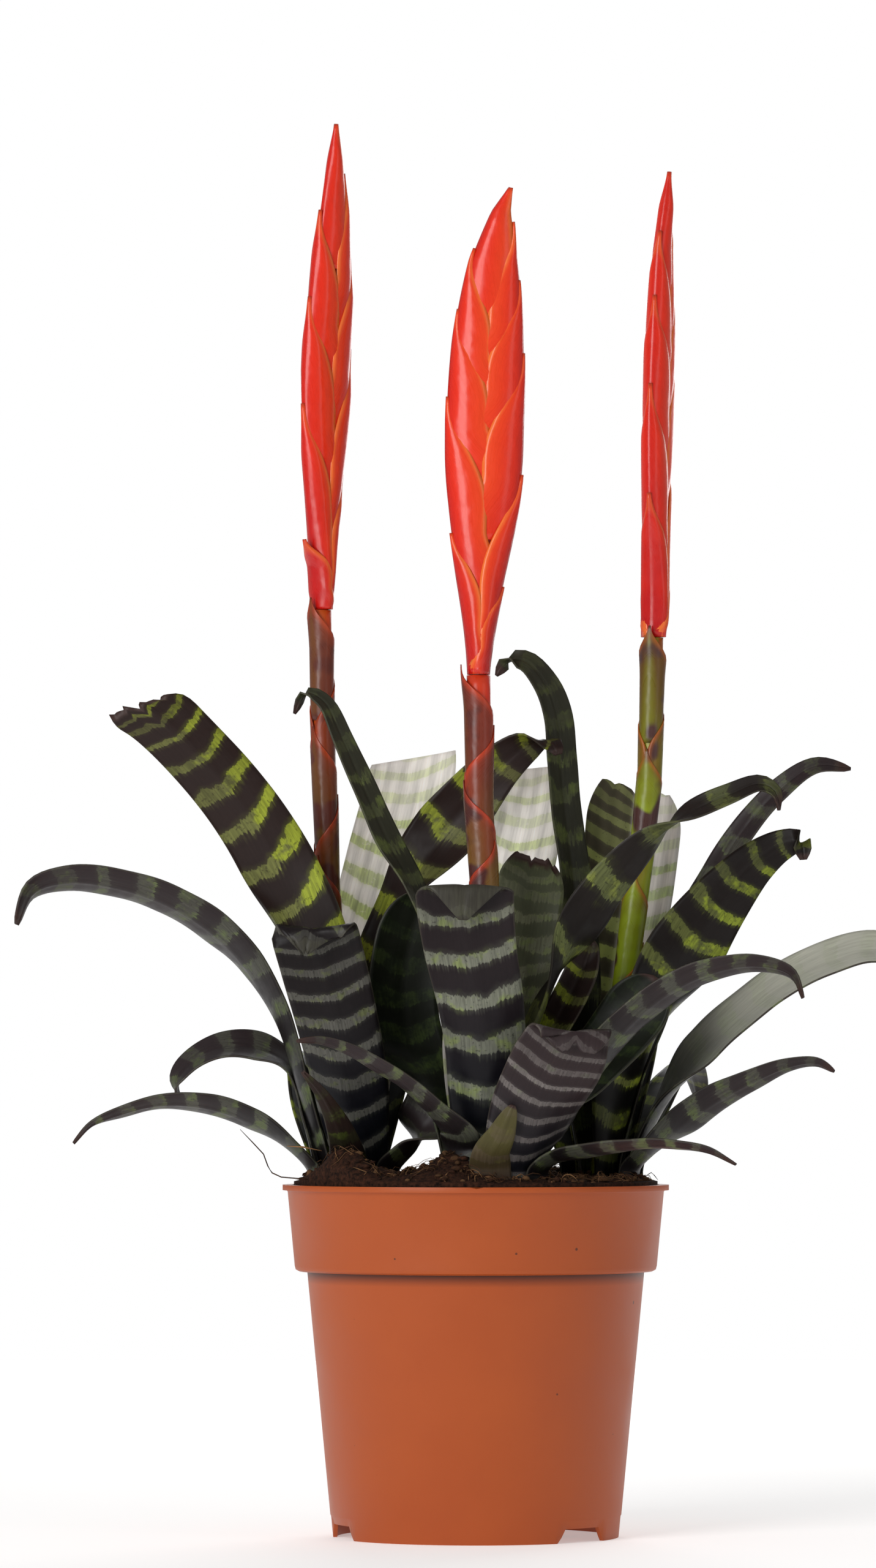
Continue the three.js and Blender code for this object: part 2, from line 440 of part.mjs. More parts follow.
function makeLeaf(leaf) {
  const frames = leafFrames(leaf);
  const columns = ACROSS_SPANS + 1;
  const sides = [[], []];
  for (const f of frames) {
    const bend = f.half / f.turn;
    for (let j = 0; j < columns; j++) {
      const a = f.turn * ((2 * j) / ACROSS_SPANS - 1);
      const normal = f.inward.clone().multiplyScalar(Math.cos(a));
      normal.addScaledVector(f.across, -f.channel * Math.sin(a)).normalize();
      const surface = f.centre.clone().addScaledVector(f.across, bend * Math.sin(a));
      surface.addScaledVector(f.inward, f.channel * bend * (1 - Math.cos(a)));
      surface.addScaledVector(f.slant, a / f.turn);
      sides[0].push(surface.clone().addScaledVector(normal, BLADE / 2));
      sides[1].push(surface.clone().addScaledVector(normal, -BLADE / 2));
    }
  }
  const total = sides[0].length;
  const positions = [...sides[0], ...sides[1]].flatMap((p) => [p.x, p.y, p.z]);
  const index = [];
  const quad = (a, b, c, d) => index.push(a, b, c, a, c, d);
  for (let i = 0; i + 1 < frames.length; i++) {
    for (let j = 0; j < ACROSS_SPANS; j++) {
      const a = i * columns + j;
      quad(a, a + columns, a + columns + 1, a + 1);
      index.push(total + a, total + a + columns + 1, total + a + columns);
      index.push(total + a, total + a + 1, total + a + columns + 1);
    }
    for (const [j, left] of [[0, true], [ACROSS_SPANS, false]]) {
      const a = i * columns + j;
      if (left) quad(a, total + a, total + a + columns, a + columns);
      else quad(a, a + columns, total + a + columns, total + a);
    }
  }
  const last = (frames.length - 1) * columns;
  for (let j = 0; j < ACROSS_SPANS; j++) {
    quad(j, j + 1, total + j + 1, total + j);
    quad(last + j, total + last + j, total + last + j + 1, last + j + 1);
  }
  const geometry = new THREE.BufferGeometry();
  geometry.setAttribute("position", new THREE.Float32BufferAttribute(positions, 3));
  geometry.setIndex(index);
  return geometry;
}

// ---------------------------------------------------------------- flower spikes
const STALK_SIDES = 6;
// How far up the bare stalk each sheath's tip stands, and its direction from the sword's width in degrees.
const SHEATHS = [[0.48, -60], [0.6, 180], [0.7, -30], [0.81, 180], [0.91, 0], [0.99, 180]];

function swordHalf(spike, t) {
  const rise = mix(0.31, 1, smooth(-0.02, 0.46, t));
  const fall = 1 - 0.96 * Math.max(0, (t - 0.46) / 0.54) ** spike.fall;
  return spike.half * rise * Math.max(0.05, fall);
}

function swordThick(spike, t) {
  return spike.thick * mix(1.2, 1, smooth(0, 0.25, t)) * (1 - 0.8 * smooth(0.6, 1, t));
}

// Where a bract's margin lies, from 1 on its own edge of the sword to -1 on the other. It wraps the sword at
// its root, follows the middle, and sweeps out to the tip. The last bract stays closed.
function bractMargin(t, last) {
  return last ? -0.97 : mix(-0.97, -0.08, smooth(0.03, 0.33, t)) + 1.03 * smooth(0.38, 1, t) ** 1.3;
}

// The spike's path as a function of height.
function pathOf(spike) {
  const points = spike.path.map((p) => new THREE.Vector3(...p));
  return (z) => {
    let i = 0;
    while (i < points.length - 2 && points[i + 1].z < z) i++;
    const t = (z - points[i].z) / (points[i + 1].z - points[i].z);
    return points[i].clone().lerp(points[i + 1], t);
  };
}

function makeSword(spike) {
  const path = pathOf(spike);
  const from = spike.sword_from + GAP / 2;
  const to = spike.path.at(-1)[2];
  const width = new THREE.Vector3(Math.cos(radians(spike.turn)), Math.sin(radians(spike.turn)), 0);
  const depth = new THREE.Vector3(-width.y, width.x, 0);
  const at = (z, w, d) => path(z).addScaledVector(width, w).addScaledVector(depth, d);
  const core = [0, 0.3, 0.65, 0.9].map((t) => {
    const z = mix(from, to, t);
    const w = 0.8 * swordHalf(spike, t);
    const d = 0.8 * swordThick(spike, t);
    const section = [[w, 0], [0.5 * w, d], [-0.5 * w, d], [-w, 0], [-0.5 * w, -d], [0.5 * w, -d]];
    return section.map(([a, b]) => at(z, a, b));
  });
  const solids = [toSolid(loftRings(core))];
  for (const [tip, side, flare] of spike.bracts) {
    const root = Math.max(0, tip - mix(0.55, 0.3, tip));
    const last = tip === 1;
    const rings = [0, 0.38, 0.72, 1].map((t) => {
      const up = mix(root, tip, t);
      const z = mix(from, to, up);
      const out = flare * smooth(0.6, 1, t);
      const edge = swordHalf(spike, up) + mix(-0.6, last ? -0.2 : 0.5, t);
      const margin = bractMargin(t, last);
      const shoulder = mix(margin, 1, 0.5);
      const thin = mix(1, 0.3, smooth(0.72, 1, t));
      const [near, far] = [shoulder, margin].map((x) => {
        return thin * (swordThick(spike, up) * (1 - x * x) ** 0.7 + mix(-0.3, 0.6, t));
      });
      const section = [[1, 0], [shoulder, near], [margin, far], [margin, -far], [shoulder, -near]];
      const ring = section.map(([a, b]) => at(z, side * (a * edge + out), b));
      return side > 0 ? ring : ring.reverse();
    });
    solids.push(toSolid(loftRings(rings)));
  }
  return toGeometry(unite(solids));
}

function stalkRadius(spike, t) {
  return spike.stalk * mix(1, 0.9, t);
}

function makeScape(spike) {
  const path = pathOf(spike);
  const from = spike.path[0][2];
  const to = spike.sword_from - GAP / 2;
  const ringAt = (t, grow, arc, facing) => {
    const z = mix(from, to, t);
    const centre = path(z);
    const ring = [];
    for (let j = 0; j < STALK_SIDES; j++) {
      const angle = facing + (arc * (2 * j + 1 - STALK_SIDES)) / STALK_SIDES;
      const r = stalkRadius(spike, t) * 0.88 + grow;
      ring.push(centre.clone().add(new THREE.Vector3(r * Math.cos(angle), r * Math.sin(angle), 0)));
    }
    return ring;
  };
  const solids = [toSolid(loftRings([0, 0.3, 0.65, 1].map((t) => ringAt(t, 0, Math.PI, 0))))];
  for (const [tip, direction] of SHEATHS) {
    const facing = radians(spike.turn + direction);
    const rings = [0, 0.55, 1].map((t) => {
      const up = mix(tip - 0.2, tip, t);
      return ringAt(up, mix(0.15, 0.9, t), Math.PI * mix(1, 0.12, smooth(0.3, 1, t)), facing);
    });
    solids.push(toSolid(loftRings(rings)));
  }
  return toGeometry(unite(solids));
}

// ---------------------------------------------------------------- assembly
addPiece("pot", makePot(), 0xb05a36, 0.5);
addPiece("soil", makeSoil(), 0x2e1f1a, 0.95);
for (const leaf of LEAVES) {
  addPiece(`${leaf.plant}_leaf_${leaf.name}`, makeLeaf(leaf), 0x3f4a30, 0.45);
}
for (const spike of SPIKES) {
  addPiece(`${spike.plant}_scape`, makeScape(spike), 0x6e3a2c, 0.5);
  addPiece(`${spike.plant}_sword`, makeSword(spike), 0xe2361f, 0.35);
}

export default part;
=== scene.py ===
# %% [markdown]
# # Flaming sword bromeliad, three plants in one nursery pot
# Three separate plants of flaming sword stand in one round plastic pot. Each has a funnel of strap leaves
# with dark cross bands, and one red sword of overlapping bracts on a sheathed stalk. The solids of the
# frame give every piece its place. This lesson grows a finer piece over each solid, gives each material
# the pattern of the real one, and sets up the light and the camera.

# %% Load the frame
import math
import random

import bmesh
import bpy
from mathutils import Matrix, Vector, geometry, noise


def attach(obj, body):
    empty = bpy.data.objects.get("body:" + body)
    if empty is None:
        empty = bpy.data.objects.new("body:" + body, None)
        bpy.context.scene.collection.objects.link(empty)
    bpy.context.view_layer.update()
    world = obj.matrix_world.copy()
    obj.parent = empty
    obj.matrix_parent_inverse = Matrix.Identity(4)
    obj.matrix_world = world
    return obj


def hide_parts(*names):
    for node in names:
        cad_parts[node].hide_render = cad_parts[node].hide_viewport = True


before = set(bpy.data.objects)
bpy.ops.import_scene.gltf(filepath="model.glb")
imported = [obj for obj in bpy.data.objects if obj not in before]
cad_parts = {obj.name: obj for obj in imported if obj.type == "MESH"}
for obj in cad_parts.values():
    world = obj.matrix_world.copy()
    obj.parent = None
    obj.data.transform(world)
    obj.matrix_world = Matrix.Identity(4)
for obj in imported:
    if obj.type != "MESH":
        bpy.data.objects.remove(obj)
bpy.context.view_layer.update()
MM = 0.001


# %% [markdown]
# The numbers below are the ones that the solids are grown from, so that each finer piece lies on its solid.
# The pot and the soil come first, then how the leaf bases are nested in the three funnels.

# %% Driving dimensions, in millimetres
RIM_RADIUS, RIM_HEIGHT, LIP_THICKNESS = 65, 118, 1.8
COLLAR_TOP_RADIUS, COLLAR_LOW_RADIUS, COLLAR_DEPTH = 63.3, 60.9, 29
BODY_TOP_RADIUS, FOOT_RADIUS, WALL = 56.7, 48.2, 1.6
FLOOR_HEIGHT, FLOOR_THICKNESS = 6, 1.8
COLLAR_LOW, FLOOR_TOP = RIM_HEIGHT - COLLAR_DEPTH, FLOOR_HEIGHT + FLOOR_THICKNESS
NOTCH_HEIGHT, NOTCH_ANGLES = 4.7, (-42, 78, 198)
DRAIN_RADIUS, DRAIN_CIRCLE, DRAIN_COUNT = 4.5, 30, 6
GAP, SOIL_TOP, HOLE_FLOOR = 0.3, 120, 104
BLADE, CORE_RADIUS, LEAF_PITCH = 0.66, 5.6, 1.14  # a leaf's thickness, and how the leaf bases are nested
BASE_ARC, MOST_WRAP, LEAST_TURN = 10, 1, 0.36     # a base's half width, and its most and least turn
FUNNEL_INNER, FUNNEL_OUTER, RISE = 19, 37, 2.5    # where a leaf leaves its funnel, and how far above the soil
PLANTS = {"left": (-39.5, 4), "middle": (3, -30), "right": (40.5, 5)}

# %% [markdown]
# A few small helpers serve every piece: two that ease from one number to another, one that turns a hex
# colour into the linear values that shaders need, one that adds a shader node and one that fills its
# sockets. A section is spun into a round skin. A sheet is a grid of the right fineness, whose every vertex
# is then carried to its place, and which a modifier gives its thickness.

# %% Easing and colour
def mix(a, b, t):
    return a + (b - a) * t


def smooth(start, end, x):
    t = min(1, max(0, (x - start) / (end - start)))
    return t * t * (3 - 2 * t)


def paint(hex_colour):
    """A hex colour as the four linear numbers of a shader socket."""
    channels = [int(hex_colour[i:i + 2], 16) / 255 for i in (1, 3, 5)]
    return (*[c / 12.92 if c <= 0.04045 else ((c + 0.055) / 1.055) ** 2.4 for c in channels], 1)


# %% The lie of the soil
def soil_height(x, y):
    """The peat stands a little above the rim, highest at the front left and beside the middle plant."""
    height = SOIL_TOP
    for cx, cy, spread, high in ((-48, -36, 11, 11), (-8, -43, 8, 9), (10, 36, 22, 3)):
        height += high * math.exp(-((x - cx) ** 2 + (y - cy) ** 2) / (2 * spread * spread))
    return height


# %% Shader nodes and materials
def new_material(name):
    """A new node material, with its tree and its surface shader."""
    material = bpy.data.materials.new(name)
    material.use_nodes = True
    shader = material.node_tree.nodes["Principled BSDF"]
    return material, material.node_tree, shader


WAYS = {"Math": "operation", "MapRange": "interpolation_type", "Mix": "blend_type"}


def feed(tree, node, sockets):
    """Fills a node's sockets, each with a number, a colour, another socket or a node's output in use."""
    for name, value in sockets.items():
        if isinstance(value, bpy.types.Node):
            value = next(output for output in value.outputs if output.enabled)
        if isinstance(value, bpy.types.NodeSocket):
            tree.links.new(value, node.inputs[name])
        else:
            node.inputs[name].default_value = value


def add(tree, kind, sockets, way=None, **settings):
    """Adds a node. A list gives its sockets in their order, and way its operation, easing or blending."""
    made = tree.nodes.new("ShaderNode" + kind)
    if way:
        settings[WAYS[kind]] = way
    for name, value in settings.items():
        setattr(made, name, value)
    feed(tree, made, dict(enumerate(sockets)) if isinstance(sockets, list) else sockets)
    return made


def blend(tree, amount, first, second, way="MIX"):
    """The colour between two colours, or their product where way is MULTIPLY. A number counts as a grey."""
    return add(tree, "Mix", {0: amount, 6: first, 7: second}, way, data_type="RGBA")


# %% Meshes
def spun(bm, section, steps):
    """Spins a section of (radius, height) points round the upright axis into a closed skin."""
    line = [bm.verts.new((r * MM, 0, z * MM)) for r, z in section]
    for a, b in zip(line, line[1:]):
        bm.edges.new((a, b))
    bmesh.ops.spin(bm, geom=bm.verts[:] + bm.edges[:], axis=(0, 0, 1), cent=(0, 0, 0), steps=steps,
                   angle=2 * math.pi, use_merge=True)
    bmesh.ops.remove_doubles(bm, verts=bm.verts[:], dist=0.001 * MM)
    bmesh.ops.recalc_face_normals(bm, faces=bm.faces[:])


def sheet(bm, across, along, place):
    """Adds a grid and lets place(vertex, u, s) move it: u is -1 to 1 across, and s is 0 to 1 along."""
    made = bmesh.ops.create_grid(bm, x_segments=across, y_segments=along, size=1)
    for vertex in made["verts"]:
        place(vertex, vertex.co.x, (vertex.co.y + 1) / 2)
    return made["verts"]


def new_object(name, data):
    """Puts an object into the scene. A bmesh becomes its mesh."""
    if isinstance(data, bmesh.types.BMesh):
        mesh = bpy.data.meshes.new(name)
        data.to_mesh(mesh)
        data.free()
        data = mesh
    made = bpy.data.objects.new(name, data)
    bpy.context.scene.collection.objects.link(made)
    return made


def finished(name, bm, materials, node):
    """Turns a bmesh into a piece that rides with the plant and stands for its solid."""
    piece = new_object(name, bm)
    for face in piece.data.polygons:
        face.use_smooth = True
    for material in materials:
        piece.data.materials.append(material)
    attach(piece, "root")
    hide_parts(node)
    return piece


def thicken(piece, name, thickness, offset):
    """Gives a sheet its thickness: half to each side where offset is 0, and inwards where it is -1."""
    thick = piece.modifiers.new(name, "SOLIDIFY")
    thick.thickness, thick.offset = thickness * MM, offset
    return thick

# %% [markdown]
# ## Leaf material
# The leaf of this bromeliad is leathery and half glossy. Its ground is near black, warm brown towards the
# tip and bluish towards the base, and grey-green bands of scales run across it. The scales sit along the
# fine veins, so each band has a ragged edge. Every leaf carries two vectors on its vertices: `leaf_mm` holds
# the distance across and along in millimetres and a running count of its bands, and `leaf_part` holds how
# far across and along it is, from -1 to 1 and from 0 to 1, and the distance to its tip. Noise stretched
# along the leaf shifts the count, and what is left after the whole number says whether it is dark or light.

# %% Banded leaf
VEIN_MM = 0.8        # between the veins that the scales follow
STREAK_MM = 11       # how far a ragged streak runs along the leaf
SPECK_MM = 1.1       # size of the dark specks in a band
PLEAT_MM = 5         # between the folds of a pale leaf
WAX_SHINE = 0.2      # the scales dull the cuticle's shine
BAND_SHARE = 0.3     # the light part of one band's spacing


def banded_leaf(name, ground_low_shaded, ground_high, band, fresh, freshness=0.3, strength=1.0, share=BAND_SHARE,
                rag=0.25, gloss=0.4, clear=0.0, dry=2.0, sun=0.0, pleats=0.0, flap=0.0, shaded=None):
    """Leathery leaf with cross bands. freshness is how much of the bands is bright green and sun how much
    more of them towards one edge, strength how far they stand out, rag how uneven their edges are, clear how
    much light comes through, share what part of its spacing a band takes, dry how long the dead tip is,
    pleats how deep its folds are shaded, flap how far from the tip the end is folded over and hairy, and
    shaded the ground of a half that lies in shade.
    """
    material, tree, shader = new_material(name)
    own = add(tree, "Attribute", {}, attribute_name="leaf_mm").outputs["Vector"]
    part = add(tree, "Attribute", {}, attribute_name="leaf_part").outputs["Vector"]
    mm = add(tree, "SeparateXYZ", [own])
    at = add(tree, "SeparateXYZ", [part])

    along_veins = add(tree, "CombineXYZ", [
        add(tree, "Math", [mm.outputs["X"], 1 / VEIN_MM], "MULTIPLY"),
        add(tree, "Math", [mm.outputs["Y"], 1 / STREAK_MM], "MULTIPLY"),
    ])
    ragged = add(tree, "TexNoise", {"Vector": along_veins, "Scale": 1, "Detail": 3, "Roughness": 0.6})
    broad = add(tree, "TexNoise", {"Vector": own, "Scale": 1 / 9, "Detail": 2})
    patches = add(tree, "TexNoise", {"Vector": own, "Scale": 1 / 5.5, "Detail": 3, "Roughness": 0.6})
    specks = add(tree, "TexNoise", {"Vector": own, "Scale": 1 / SPECK_MM, "Detail": 1})

    shift = add(tree, "Math", [ragged, rag, mm.outputs["Z"]], "MULTIPLY_ADD")
    shift = add(tree, "Math", [broad, 1.6 * rag, shift], "MULTIPLY_ADD")
    phase = add(tree, "Math", [shift], "FRACT")
    number = add(tree, "Math", [shift], "FLOOR")
    chance = add(tree, "TexWhiteNoise", {"W": number}, noise_dimensions="1D").outputs["Value"]
    off_centre = add(tree, "Math", [phase, 0.5], "SUBTRACT")
    away = add(tree, "Math", [off_centre], "ABSOLUTE")
    width = add(tree, "Math", [patches, 0.12, share / 2 - 0.06], "MULTIPLY_ADD")
    width = add(tree, "Math", [chance, 0.1, width], "MULTIPLY_ADD")
    edge = add(tree, "Math", [width, away], "SUBTRACT")
    in_band = add(tree, "MapRange", [edge, -0.02, 0.025], "SMOOTHSTEP")
    near_band = add(tree, "MapRange", [edge, -0.16, 0.02, 0, 0.3], "SMOOTHSTEP")
    speckled = add(tree, "MapRange", [specks, 0.62, 0.74, 1, 0.5], "SMOOTHSTEP")
    halo = add(tree, "Math", [near_band, ragged], "MULTIPLY")
    spotted = add(tree, "Math", [in_band, speckled], "MULTIPLY")
    shown = add(tree, "Math", [spotted, halo], "MAXIMUM")
    fade = add(tree, "MapRange", [at.outputs["Y"], 0.65, 0.98, strength, 0.4 * strength])
    shown = add(tree, "Math", [shown, fade], "MULTIPLY")
    uneven = add(tree, "MapRange", [chance, 0, 1, 1, 0.5])
    shown = add(tree, "Math", [shown, uneven], "MULTIPLY")

    # The ground is darker towards the base: partly the leaf's own colour and partly painted shade.
    height = add(tree, "MapRange", [at.outputs["Y"], 0.25, 0.75], "SMOOTHSTEP")
    ground = blend(tree, height, paint(ground_low_shaded), paint(ground_high))
    grain = add(tree, "MapRange", [ragged, 0.3, 0.7, 0.9, 1.12])
    ground = blend(tree, 1, ground, grain, "MULTIPLY")
    lit = add(tree, "Math", [at.outputs["X"], 0.2 * sun, patches], "MULTIPLY_ADD")
    green = add(tree, "MapRange", [lit, 0.62 - 0.4 * freshness, 0.72 - 0.3 * freshness,
                                   0, min(1, 3 * freshness)])
    hatch = add(tree, "MapRange", [ragged, 0.36, 0.6, 0.62, 1.05])
    light = blend(tree, green, paint(band), paint(fresh))
    light = blend(tree, 1, light, hatch, "MULTIPLY")
    if shaded:
        side = add(tree, "MapRange", [at.outputs["X"], -0.1, 0.1], "SMOOTHSTEP")
        ground = blend(tree, side, ground, paint(shaded))
        light = blend(tree, side, light, paint("#D4DF8E"))
    colour = blend(tree, shown, ground, light)
    if pleats:
        fold = add(tree, "Math", [mm.outputs["X"], 2 * math.pi / PLEAT_MM], "MULTIPLY")
        fold = add(tree, "Math", [broad, 3, fold], "MULTIPLY_ADD")
        fold = add(tree, "Math", [fold], "SINE")
        fold = add(tree, "MapRange", [fold, -1, 1, 1 - pleats, 1])
        colour = blend(tree, 1, colour, fold, "MULTIPLY")

    # A thin light line along each margin is painted rim light.
    margin = add(tree, "Math", [at.outputs["X"]], "ABSOLUTE")
    margin = add(tree, "MapRange", [margin, 0.965, 0.995, 0, 0.14])
    colour = blend(tree, margin, colour, paint("#7A7562"))
    if flap:
        hairs = blend(tree, ragged, paint("#231E1C"), paint("#4C4B3F"))
        folded = add(tree, "MapRange", [at.outputs["Z"], flap, flap + 1.5, 0.85, 0])
        colour = blend(tree, folded, colour, hairs)
    if dry:
        dead = add(tree, "Math", [patches, dry, at.outputs["Z"]], "MULTIPLY_ADD")
        dead = add(tree, "MapRange", [dead, dry, 1.9 * dry, 1, 0], "SMOOTHSTEP")
        colour = blend(tree, dead, colour, paint("#3A2A26"))

    rough = add(tree, "MapRange", [patches, 0.3, 0.7, gloss - 0.07, gloss + 0.1])
    veins = add(tree, "Bump", {"Strength": 0.15, "Distance": 0.12 * MM, "Height": ragged})
    feed(tree, shader, {"Base Color": colour, "Roughness": rough, "Normal": veins, "IOR": 1.45,
                        "Specular IOR Level": WAX_SHINE})
    if clear:
        through = add(tree, "BsdfTranslucent", {"Color": colour})
        both = add(tree, "MixShader", [clear, shader, through])
        feed(tree, tree.nodes["Material Output"], {"Surface": both})
    return material


LEAF_KINDS = {
    "dark": banded_leaf("leaf_dark_banded", "#0C0B0A", "#17110F", "#666C38", "#A0B036", share=0.22, sun=0.8),
    "folded": banded_leaf("leaf_folded_banded", "#0D0E14", "#1C1416", "#8F9280", "#9CAA6A", 0.3, 0.9, 0.2,
                          0.22, dry=0, flap=13),
    "notched": banded_leaf("leaf_notched_banded", "#0E0F15", "#161112", "#74736A", "#8E9A54", 0.2, 0.75, 0.2,
                           0.22, dry=0, flap=4),
    "stripes": banded_leaf("leaf_close_striped", "#15151A", "#2E2425", "#8F8884", "#8E9A76", 0.15, 0.55, 0.22,
                           0.2, dry=0),
    "green": banded_leaf("leaf_shaded_green", "#0A0D09", "#14170F", "#232C1B", "#3C4A22", 0.35, 0.8, 0.34,
                         0.3),
    "lively": banded_leaf("leaf_bright_banded", "#120D0D", "#241815", "#7C8044", "#B4C238", 0.3, 1.0, 0.19,
                          sun=1.5),
    "hooked": banded_leaf("leaf_slender_green", "#171812", "#2B2B20", "#565C3A", "#6E7C3C", 0.3, 0.7, 0.28,
                          0.6, dry=4),
    "arched": banded_leaf("leaf_arched_olive", "#14100E", "#1E1815", "#727A48", "#96A04A", 0.3, 0.85, 0.22,
                          dry=5),
    "thin": banded_leaf("leaf_thin_brownish", "#151213", "#2C2425", "#66695A", "#84965A", 0.3, 0.55, 0.3, 0.3,
                        dry=5),
    "brown": banded_leaf("leaf_short_brown", "#120D0C", "#261B17", "#343A20", "#6A7E2C", 0.3, 0.4, 0.3, 0.4,
                         dry=3),
    "olive": banded_leaf("leaf_short_olive", "#35241F", "#4A4526", "#6A5A50", "#77762F", 0.2, 0.4, 0.3, 0.3,
                         dry=1),
    "mottled": banded_leaf("leaf_crumpled_green", "#26281B", "#474A35", "#86886A", "#8C9A5C", 0.3, 0.75, 0.4,
                           0.5, dry=3),
    # The pale grounds of the next two kinds are painted backlight coming through the leaf.
    "pale": banded_leaf("leaf_pale_backlit", "#E4DFDA", "#FFFCF8", "#CCDC84", "#D4E870", 0.4, 0.9, 0.27, 0.2,
                        0.45, 0.6, dry=0, pleats=0.16),
    "half_pale": banded_leaf("leaf_half_shaded", "#D6D1CC", "#EEEAE6", "#C2D68A", "#CBE37E", 0.4, 0.9, 0.34,
                             0.16, 0.45, 0.4, dry=0, pleats=0.16, shaded="#5F5A4A"),
    "silver": banded_leaf("leaf_silver_side", "#6E6D66", "#A9A99C", "#9CA383", "#8DA06A", 0.3, 0.3, 0.36,
                          0.3, 0.45, dry=1),
}
print("leaf materials:", len(LEAF_KINDS))

# %% [markdown]
# ## Bract and sheath material
# A sword's bracts are waxy and red, deeper low down and along the keel, with a thin orange margin and a
# tiny maroon point. The sheaths on the stalk are the same leaf organ, but brown where the light reaches
# them, orange-red on their margins, and yellow-green where the stalk is young. `bract_mm` holds the distance
# from the margin, the distance along and the height on the spike in millimetres, and `bract_part` how far
# round and along, and how far up the spike.

# %% Waxy bract and sheath
GRAIN_MM = 0.7       # between the fine lines along a bract
MARGIN_MM = 0.45     # width of its thin, light margin


def waxy_bract(name, body, deep, glow, margin, point, gloss=0.3, patches_colour=None, soft_margin=1.0,
               shine=0.4, coat=0.0, keel_share=0.5, deep_from=(0.0, 0.45)):
    """Waxy bract: body colour up high, deep colour low down, glow towards the margin, which fades over
    soft_margin times its usual width. shine is the surface's own gloss and coat that of the wax on it.
    keel_share is how far the deep colour shows along the keel, and deep_from where up the spike it fades."""
    material, tree, shader = new_material(name)
    mm = add(tree, "SeparateXYZ", [add(tree, "Attribute", {}, attribute_name="bract_mm").outputs["Vector"]])
    at = add(tree, "SeparateXYZ", [add(tree, "Attribute", {}, attribute_name="bract_part").outputs["Vector"]])
    lines = add(tree, "CombineXYZ", [
        add(tree, "Math", [mm.outputs["X"], 1 / GRAIN_MM], "MULTIPLY"),
        add(tree, "Math", [mm.outputs["Y"], 1 / (12 * GRAIN_MM)], "MULTIPLY"),
        mm.outputs["Z"],
    ])
    grain = add(tree, "TexNoise", {"Vector": lines, "Scale": 1, "Detail": 3, "Roughness": 0.6})
    place = add(tree, "TexCoord", {})
    cloud = add(tree, "TexNoise", {"Vector": place.outputs["Object"], "Scale": 1 / (14 * MM), "Detail": 2})

    low = add(tree, "MapRange", [at.outputs["Z"], *deep_from, 0.9, 0], "SMOOTHSTEP")
    low = add(tree, "Math", [low, cloud], "MULTIPLY")
    low = add(tree, "Math", [low, 1.7], "MULTIPLY", use_clamp=True)
    colour = blend(tree, low, paint(body), paint(deep))
    across = add(tree, "Math", [at.outputs["X"]], "ABSOLUTE")
    keel = add(tree, "MapRange", [across, 0.02, 0.3, keel_share, 0.0], "SMOOTHSTEP")
    colour = blend(tree, keel, colour, paint(deep))
    glowing = add(tree, "MapRange", [across, 0.25, 1, 0, 0.75], "SMOOTHSTEP")
    colour = blend(tree, glowing, colour, paint(glow))
    if patches_colour:
        patchy = add(tree, "MapRange", [cloud, 0.5, 0.6], "SMOOTHSTEP")
        colour = blend(tree, patchy, colour, paint(patches_colour))
    shade = add(tree, "MapRange", [grain, 0.3, 0.7, 0.97, 1.03])
    colour = blend(tree, 1, colour, shade, "MULTIPLY")
    edge = add(tree, "MapRange", [mm.outputs["X"], 0, 2 * soft_margin * MARGIN_MM, 0.6, 0],
               "SMOOTHSTEP")
    tapered = add(tree, "MapRange", [at.outputs["Y"], 0.75, 0.97, 1, 0.3])
    edge = add(tree, "Math", [edge, tapered], "MULTIPLY")
    colour = blend(tree, edge, colour, paint(margin))
    tipped = add(tree, "MapRange", [at.outputs["Y"], 0.98, 1.0, 0, 0.35])
    colour = blend(tree, tipped, colour, paint(point))
    rough = add(tree, "MapRange", [grain, 0.3, 0.7, gloss - 0.05, gloss + 0.1])
    swell = add(tree, "TexNoise", {"Vector": place.outputs["Object"], "Scale": 1 / (5 * MM), "Detail": 1})
    folds = add(tree, "Bump", {"Strength": 0.5, "Distance": 0.8 * MM, "Height": swell})
    ridges = add(tree, "Bump", {"Strength": 0.2, "Distance": 0.1 * MM, "Height": grain, "Normal": folds})
    feed(tree, shader, {"Base Color": colour, "Roughness": rough, "Normal": ridges, "IOR": 1.47,
                        "Coat Weight": coat, "Coat Roughness": 0.14, "Specular IOR Level": shine})
    return material


BRACT_WAX = waxy_bract("bract_red_wax", "#DE2A11", "#B40A11", "#E6471A", "#F0883C", "#5A1A1C", 0.27,
                       soft_margin=2, shine=0.3, coat=0.3)
CORE_WAX = waxy_bract("bract_inner_red", "#DC3014", "#C02014", "#DC3014", "#DC3014", "#8A2A1C", 0.3)
SHEATH_WAX = {
    "left": waxy_bract("sheath_brown_red", "#6A3220", "#6E5E1E", "#963A1C", "#B8441E", "#3A1816",
                       patches_colour="#5A2A20", soft_margin=3, keel_share=0.2, deep_from=(0.35, 0.85)),
    "middle": waxy_bract("sheath_brown_maroon", "#64291C", "#7A661E", "#943420", "#C8401E", "#3A1816", 0.28,
                         "#4A2420", soft_margin=4, keel_share=0.15, deep_from=(0.45, 0.9)),
    "right": waxy_bract("sheath_olive", "#5E4216", "#98B020", "#7A4A1A", "#B8601E", "#3A1816", 0.3, "#4B2F2B",
                        soft_margin=2.5, keel_share=0.2, deep_from=(0.6, 0.95)),
}
STALK_WAX = {
    "left": waxy_bract("stalk_orange", "#C2401A", "#8A6A20", "#B0501A", "#B0501A", "#8A2A1C", 0.3),
    "middle": waxy_bract("stalk_red", "#D0301A", "#8A4A1E", "#C23A1A", "#C23A1A", "#8A2A1C", 0.3),
    "right": waxy_bract("stalk_yellow_green", "#9A4A18", "#A3BE1C", "#9A6A1C", "#94901C", "#8A7A20", 0.3,
                        deep_from=(0.7, 1.0)),
}
